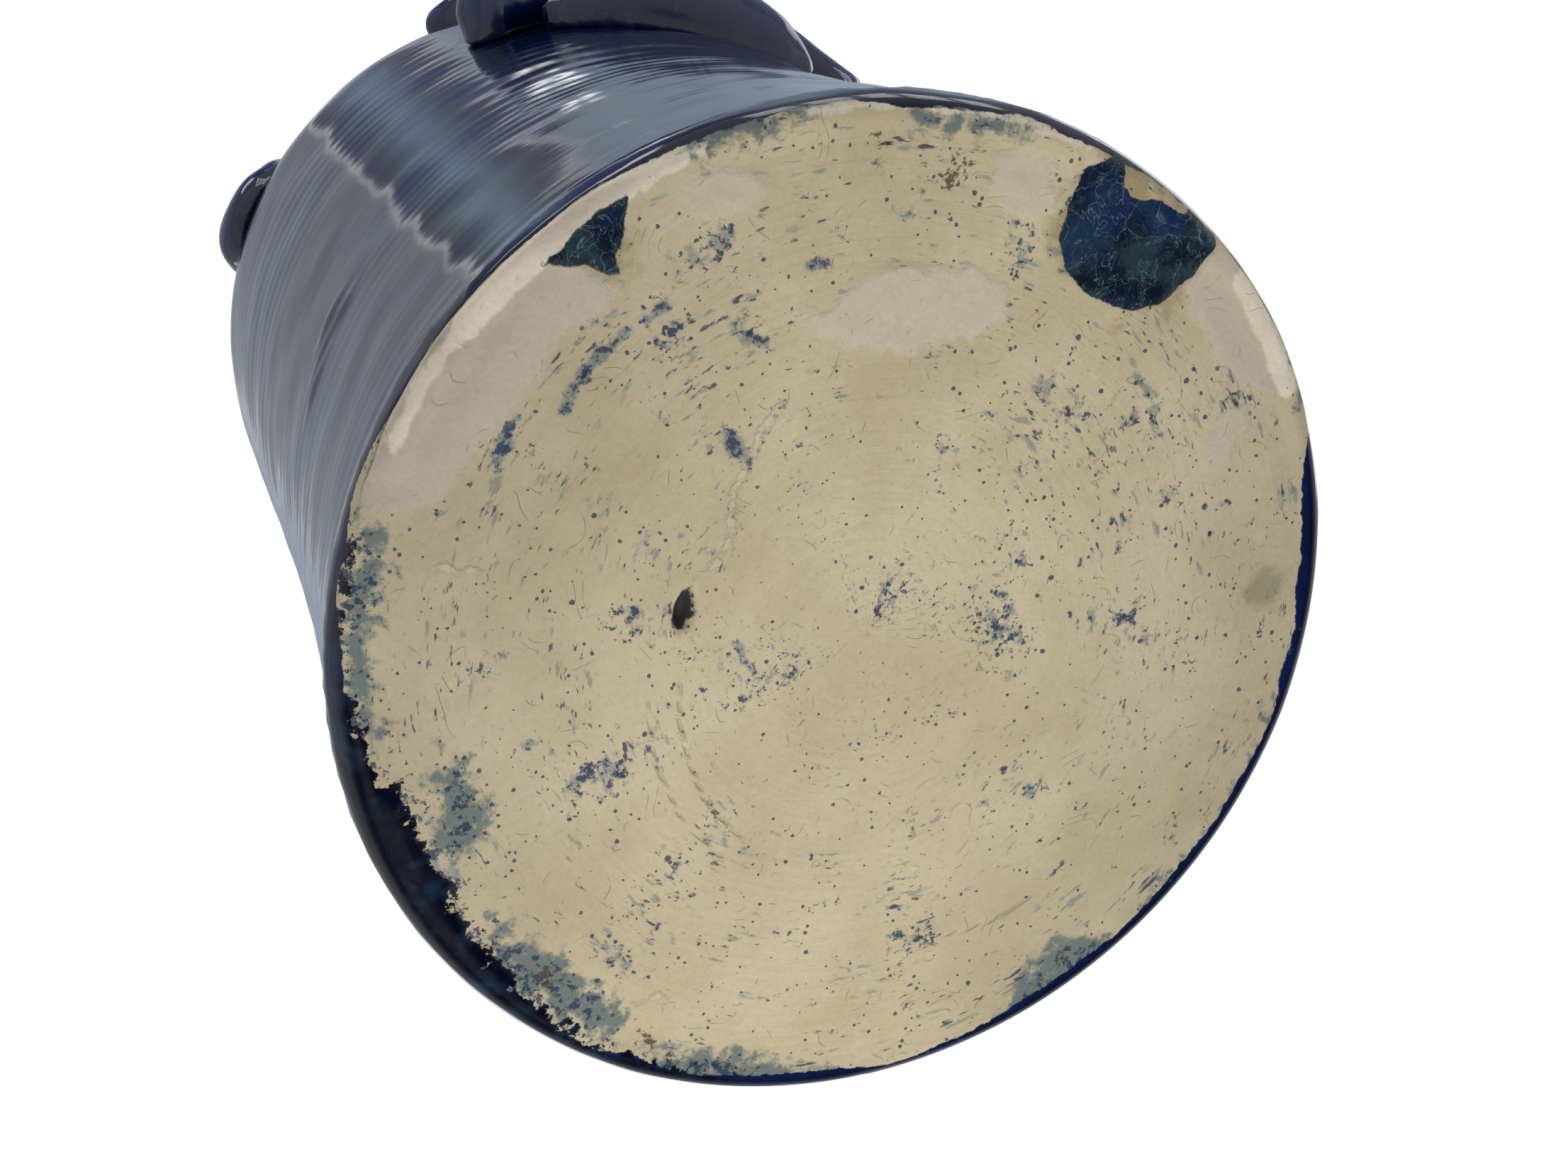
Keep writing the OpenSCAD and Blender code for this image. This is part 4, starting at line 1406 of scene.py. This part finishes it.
@dataclass(frozen=True)
class FaceAndHandle:
    """All that was laid on the thrown body by hand: handle, ears, chin, nose, mouth and eyes.

    Each kind of piece has a word of its node's name and its way of modelling. The first word
    that fits counts.
    """

    gauge: WallGauge
    finishes: dict[str, Material]
    kinds: tuple[tuple[str, Modelling], ...] = (
        ("pupil", Modelling(0.25, 2, 0.0, 1.0, 0.0, 0.0)),
        ("tooth", Modelling(0.35, 4, 0.3, 1.5, 0.4, 0.12, 4.0)),
        ("eyeball", Modelling(0.5, 4, 0.0, 1.0, 0.0, 0.03)),
        ("handle", Modelling(0.9, 5, 3.0, 5.0, 0.8, 0.2, 16.0)),
        ("lid", Modelling(0.5, 5, 0.9, 1.8, 0.5, 0.1, 6.0)),
        ("brow", Modelling(0.5, 5, 0.9, 1.8, 0.5, 0.1, 6.0)),
        ("", Modelling()),
    )

    def build(self, nodes: dict[str, Object], slots: dict[str, str]) -> None:
        """Builds every applied piece.

        Args:
            nodes: The solids' objects by name.
            slots: Material slot of each node.
        """
        for name in sorted(set(nodes) - {"body"}):
            hands = next(kind for word, kind in self.kinds if word in name)
            ClayPiece(name, self.gauge, hands).build(nodes[name], self.finishes[slots[name]], slots[name])


@dataclass(frozen=True)
class SoftLamp:
    """A square soft lamp that looks at the jug."""

    name: str
    place: Triple
    target: Triple
    side: float
    watts: float

    def build(self) -> None:
        """Adds the lamp."""
        light = bpy.data.lights.new(self.name, "AREA")
        light.shape = "SQUARE"
        light.size = self.side
        light.energy = self.watts
        obj = add_object(self.name, light)
        obj.location = self.place
        way = Vector(self.target) - Vector(self.place)
        obj.rotation_euler = way.to_track_quat("-Z", "Y").to_euler()


def flat_grid(name: str, half_side: float, cells: int, height: float) -> Mesh:
    """A level square of square cells, in metres.

    Args:
        name: Name of the mesh.
        half_side: Half the square's side.
        cells: Cells along a side.
        height: Height of the square.

    Returns:
        The mesh.
    """
    steps = np.linspace(-half_side, half_side, cells + 1)
    row = cells + 1
    starts = [j * row + i for j in range(cells) for i in range(cells)]
    mesh = bpy.data.meshes.new(name)
    faces = [(start, start + 1, start + 1 + row, start + row) for start in starts]
    mesh.from_pydata([(x, y, height) for y in steps for x in steps], [], faces)
    return mesh


def show_in_gloss_only(mesh: Mesh, colour: Union[Socket, Colour], strength: float, graph: Graph) -> None:
    """Adds a glowing mesh of the studio that only the gloss of the glaze shows.

    Args:
        mesh: The mesh.
        colour: Colour of its light.
        strength: Strength of its light.
        graph: Nodes of its material.
    """
    mesh.materials.append(graph.show(graph.add("Emission", {"Color": colour, "Strength": strength})))
    obj = add_object(mesh.name, mesh)
    obj.visible_camera = False
    obj.visible_diffuse = False
    obj.visible_shadow = False
    obj.visible_transmission = False


@dataclass(frozen=True)
class Seam:
    """Seam between two cloths overhead, with the light that comes through it, in metres."""

    start: Pair
    end: Pair
    softness: float
    glow: float
    glow_width: float

    def side(self, places: Array) -> Array:
        """Distance to the left of the seam, negative to its right."""
        start, end = np.array(self.start), np.array(self.end)
        way = (end - start) / np.linalg.norm(end - start)
        return (places - start) @ np.array([-way[1], way[0]])

    def past(self, places: Array) -> Array:
        """0 to the right of the seam and 1 to its left, in a column."""
        return smooth_step(self.side(places), -self.softness, self.softness)[:, None]

    def shine(self, places: Array) -> Array:
        """Light along the seam, in a column."""
        return self.glow * np.exp(-((self.side(places) / self.glow_width) ** 2))[:, None]


@dataclass(frozen=True)
class OverheadCloths:
    """Softly lit cloths above the jug, which show only in the gloss of its glaze."""

    height: float = 1.0
    half_side: float = 1.3
    cells: int = 420
    left: str = "#b9bec6"
    middle_near: str = "#85878a"
    middle_far: str = "#7b80b2"
    right: str = "#b7c4d8"
    streak: str = "#b4cfe8"
    strength: float = 0.8
    seams: tuple[Seam, Seam] = (
        Seam((-0.105, -0.052), (-0.735, -0.330), 0.006, 0.75, 0.0065),
        Seam((-0.035, -0.140), (-0.043, -0.900), 0.006, 0.95, 0.0085),
    )
    windows: tuple[Pair, ...] = ((-0.03, -0.34), (0.02, -0.34))
    window_half: Pair = (0.014, 0.035)
    window_light: float = 4.0
    streak_line: Seam = Seam((-0.092, -0.115), (-0.51, -0.57), 0.04, 0.75, 0.045)

    def build(self) -> None:
        """Adds the cloths as one grid with a light for each of its corners."""
        mesh = flat_grid("overhead_cloths", self.half_side, self.cells, self.height)
        light = self.light(read_vectors(mesh.vertices, "co")[:, :2])
        layer = mesh.color_attributes.new("cloth_light", "FLOAT_COLOR", "POINT")
        light = np.column_stack([light, np.ones(len(light))])
        layer.data.foreach_set("color", light.astype(np.float32).ravel())
        graph = new_graph(mesh.name)
        shade = graph.add("Attribute", {}, "Color", attribute_name=layer.name)
        show_in_gloss_only(mesh, shade, self.strength, graph)

    def light(self, places: Array) -> Array:
        """Light of the cloths and through their seams.

        Args:
            places: Places on the cloths, x and y to a row, in metres.

        Returns:
            Linear red, green and blue, one place to a row.
        """
        names = (self.left, self.middle_near, self.middle_far, self.right, self.streak)
        left, near, far, right, streak = (np.array(linear(name)[:3]) for name in names)
        out = smooth_step(np.linalg.norm(places, axis=1), 0.16, 0.45)[:, None]
        past, further = (seam.past(places) for seam in self.seams)
        colour = left + (near + (far - near) * out - left) * past
        colour = colour + (right - colour) * further
        for seam in self.seams:
            colour = colour + seam.shine(places)
        share = self.streak_line.shine(places) * past * (1 - further)
        colour = np.clip(colour + (streak - colour) * share, 0, 1)
        for window in self.windows:
            open_sky = np.all(np.abs(places - window) < self.window_half, axis=1)
            colour[open_sky] = self.window_light
        return colour


@dataclass(frozen=True)
class FrontWindow:
    """A window with bars in front of the face, which shows only in the gloss of the glaze."""

    place: Triple = (0.12, -1.0, 0.06)
    pane: Pair = (0.10, 0.11)
    bar: float = 0.035
    columns: int = 5
    rows: int = 3
    daylight: str = "#f2f6ff"
    strength: float = 5.5

    def build(self) -> None:
        """Adds the window, one face a pane."""
        width, height = self.pane
        middle, front, sill = self.place
        left = middle - (self.columns * width + (self.columns - 1) * self.bar) / 2
        points: list[Triple] = []
        for column in range(self.columns):
            for row in range(self.rows):
                x = left + column * (width + self.bar)
                z = sill + row * (height + self.bar)
                corners = ((x, z), (x + width, z), (x + width, z + height), (x, z + height))
                points += [(across, front, up) for across, up in corners]
        mesh = bpy.data.meshes.new("front_window")
        mesh.from_pydata(points, [], np.arange(len(points)).reshape(-1, 4).tolist())
        show_in_gloss_only(mesh, linear(self.daylight), self.strength, new_graph("front_window_daylight"))


@dataclass(frozen=True)
class Studio:
    """Plain pale floor, soft light, pale surroundings and the camera of the photograph."""

    camera_place: Triple = (-0.108317, -0.067512, -0.208738)
    camera_right: Triple = (0.90658, -0.25140, -0.33899)
    camera_up: Triple = (-0.13085, -0.93108, 0.34055)
    lens_mm: float = 45.57
    sensor_mm: float = 36.0
    soft_strength: float = 0.55
    paper: tuple[str, str] = ("#e9e8e5", "#efeeec")
    backdrop: str = "#ffffff"
    lamps: tuple[SoftLamp, ...] = (
        SoftLamp("key", (-0.75, -0.85, 0.95), (0, 0, 0.12), 0.7, 7.0),
        SoftLamp("fill", (0.95, -0.35, 0.7), (0, 0, 0.12), 0.8, 3.5),
        SoftLamp("back", (0.3, 1.0, 0.8), (0, 0, 0.12), 0.8, 3.0),
        SoftLamp("under", (0.0, 0.20, -0.28), (0, 0.035, 0), 0.2, 0.62),
    )
    cloths: OverheadCloths = OverheadCloths()
    window: FrontWindow = FrontWindow()

    def build(self) -> None:
        """Builds the studio and sets the camera and the view."""
        self.floor()
        self.surroundings()
        for item in (*self.lamps, self.cloths, self.window):
            item.build()
        self.camera()
        bpy.context.scene.view_settings.view_transform = "Standard"

    def floor(self) -> None:
        """A pale paper floor, with fine fibres; from below it lets sight and light through."""
        mesh = flat_grid("floor", 1.2, 24, 0.0)
        graph = new_graph("pale_floor_paper")
        paper = graph.add("BsdfDiffuse", {"Color": graph.blend(graph.noise(1.5, 3), *self.paper)})
        below = graph.add("NewGeometry", {}, "Backfacing")
        clear = graph.add("BsdfTransparent")
        mesh.materials.append(graph.show(graph.add("MixShader", {0: below, 1: paper, 2: clear})))
        obj = add_object("floor", mesh)
        obj.visible_diffuse = False
        obj.visible_shadow = False

    def surroundings(self) -> None:
        """White behind the jug, and a soft even light on it and in its gloss."""
        world = bpy.data.worlds.new("surroundings")
        bpy.context.scene.world = world
        world.use_nodes = True
        world.node_tree.nodes.clear()
        graph = Graph(world)
        ray = graph.add("LightPath", {}, "Is Camera Ray")
        seen = graph.maths("MAXIMUM", ray, ray.node.outputs["Is Transmission Ray"])
        soft, white = (
            graph.add("Background", {"Color": linear(self.backdrop), "Strength": strength})
            for strength in (self.soft_strength, 1.0)
        )
        surface = graph.add("MixShader", {0: seen, 1: soft, 2: white})
        graph.add("OutputWorld", {"Surface": surface})

    def camera(self) -> None:
        """The camera of the photograph, below the foot and looking up past it."""
        lens = bpy.data.cameras.new("photo_camera")
        lens.lens = self.lens_mm
        lens.sensor_fit = "HORIZONTAL"
        lens.sensor_width = self.sensor_mm
        lens.clip_start = 0.01
        right, up = Vector(self.camera_right), Vector(self.camera_up)
        turn = Matrix((right, up, right.cross(up))).transposed().to_4x4()
        obj = add_object("photo_camera", lens)
        obj.matrix_world = Matrix.Translation(self.camera_place) @ turn
        bpy.context.scene.camera = obj


def main() -> None:
    """Builds the jug, dresses it and sets the scene."""
    logging.basicConfig(level=logging.INFO, format="%(name)s: %(message)s")
    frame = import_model()
    slots = {part["node"]: part["material_slot"] for part in frame["record"]["subparts"]}
    profile = JugProfile()
    glaze = CobaltGlaze()
    ThrownBody(profile).build(DippedStoneware(glaze, BareStoneware(), FootGlaze()).material())
    finishes = {
        "cobalt_glaze": glaze.material(),
        "white_clay": WhiteClay().material(),
        "dark_slip": DarkSlip().material(),
    }
    FaceAndHandle(WallGauge(profile), finishes).build(frame["nodes"], slots)
    Studio().build()


if __name__ == "__main__":
    main()
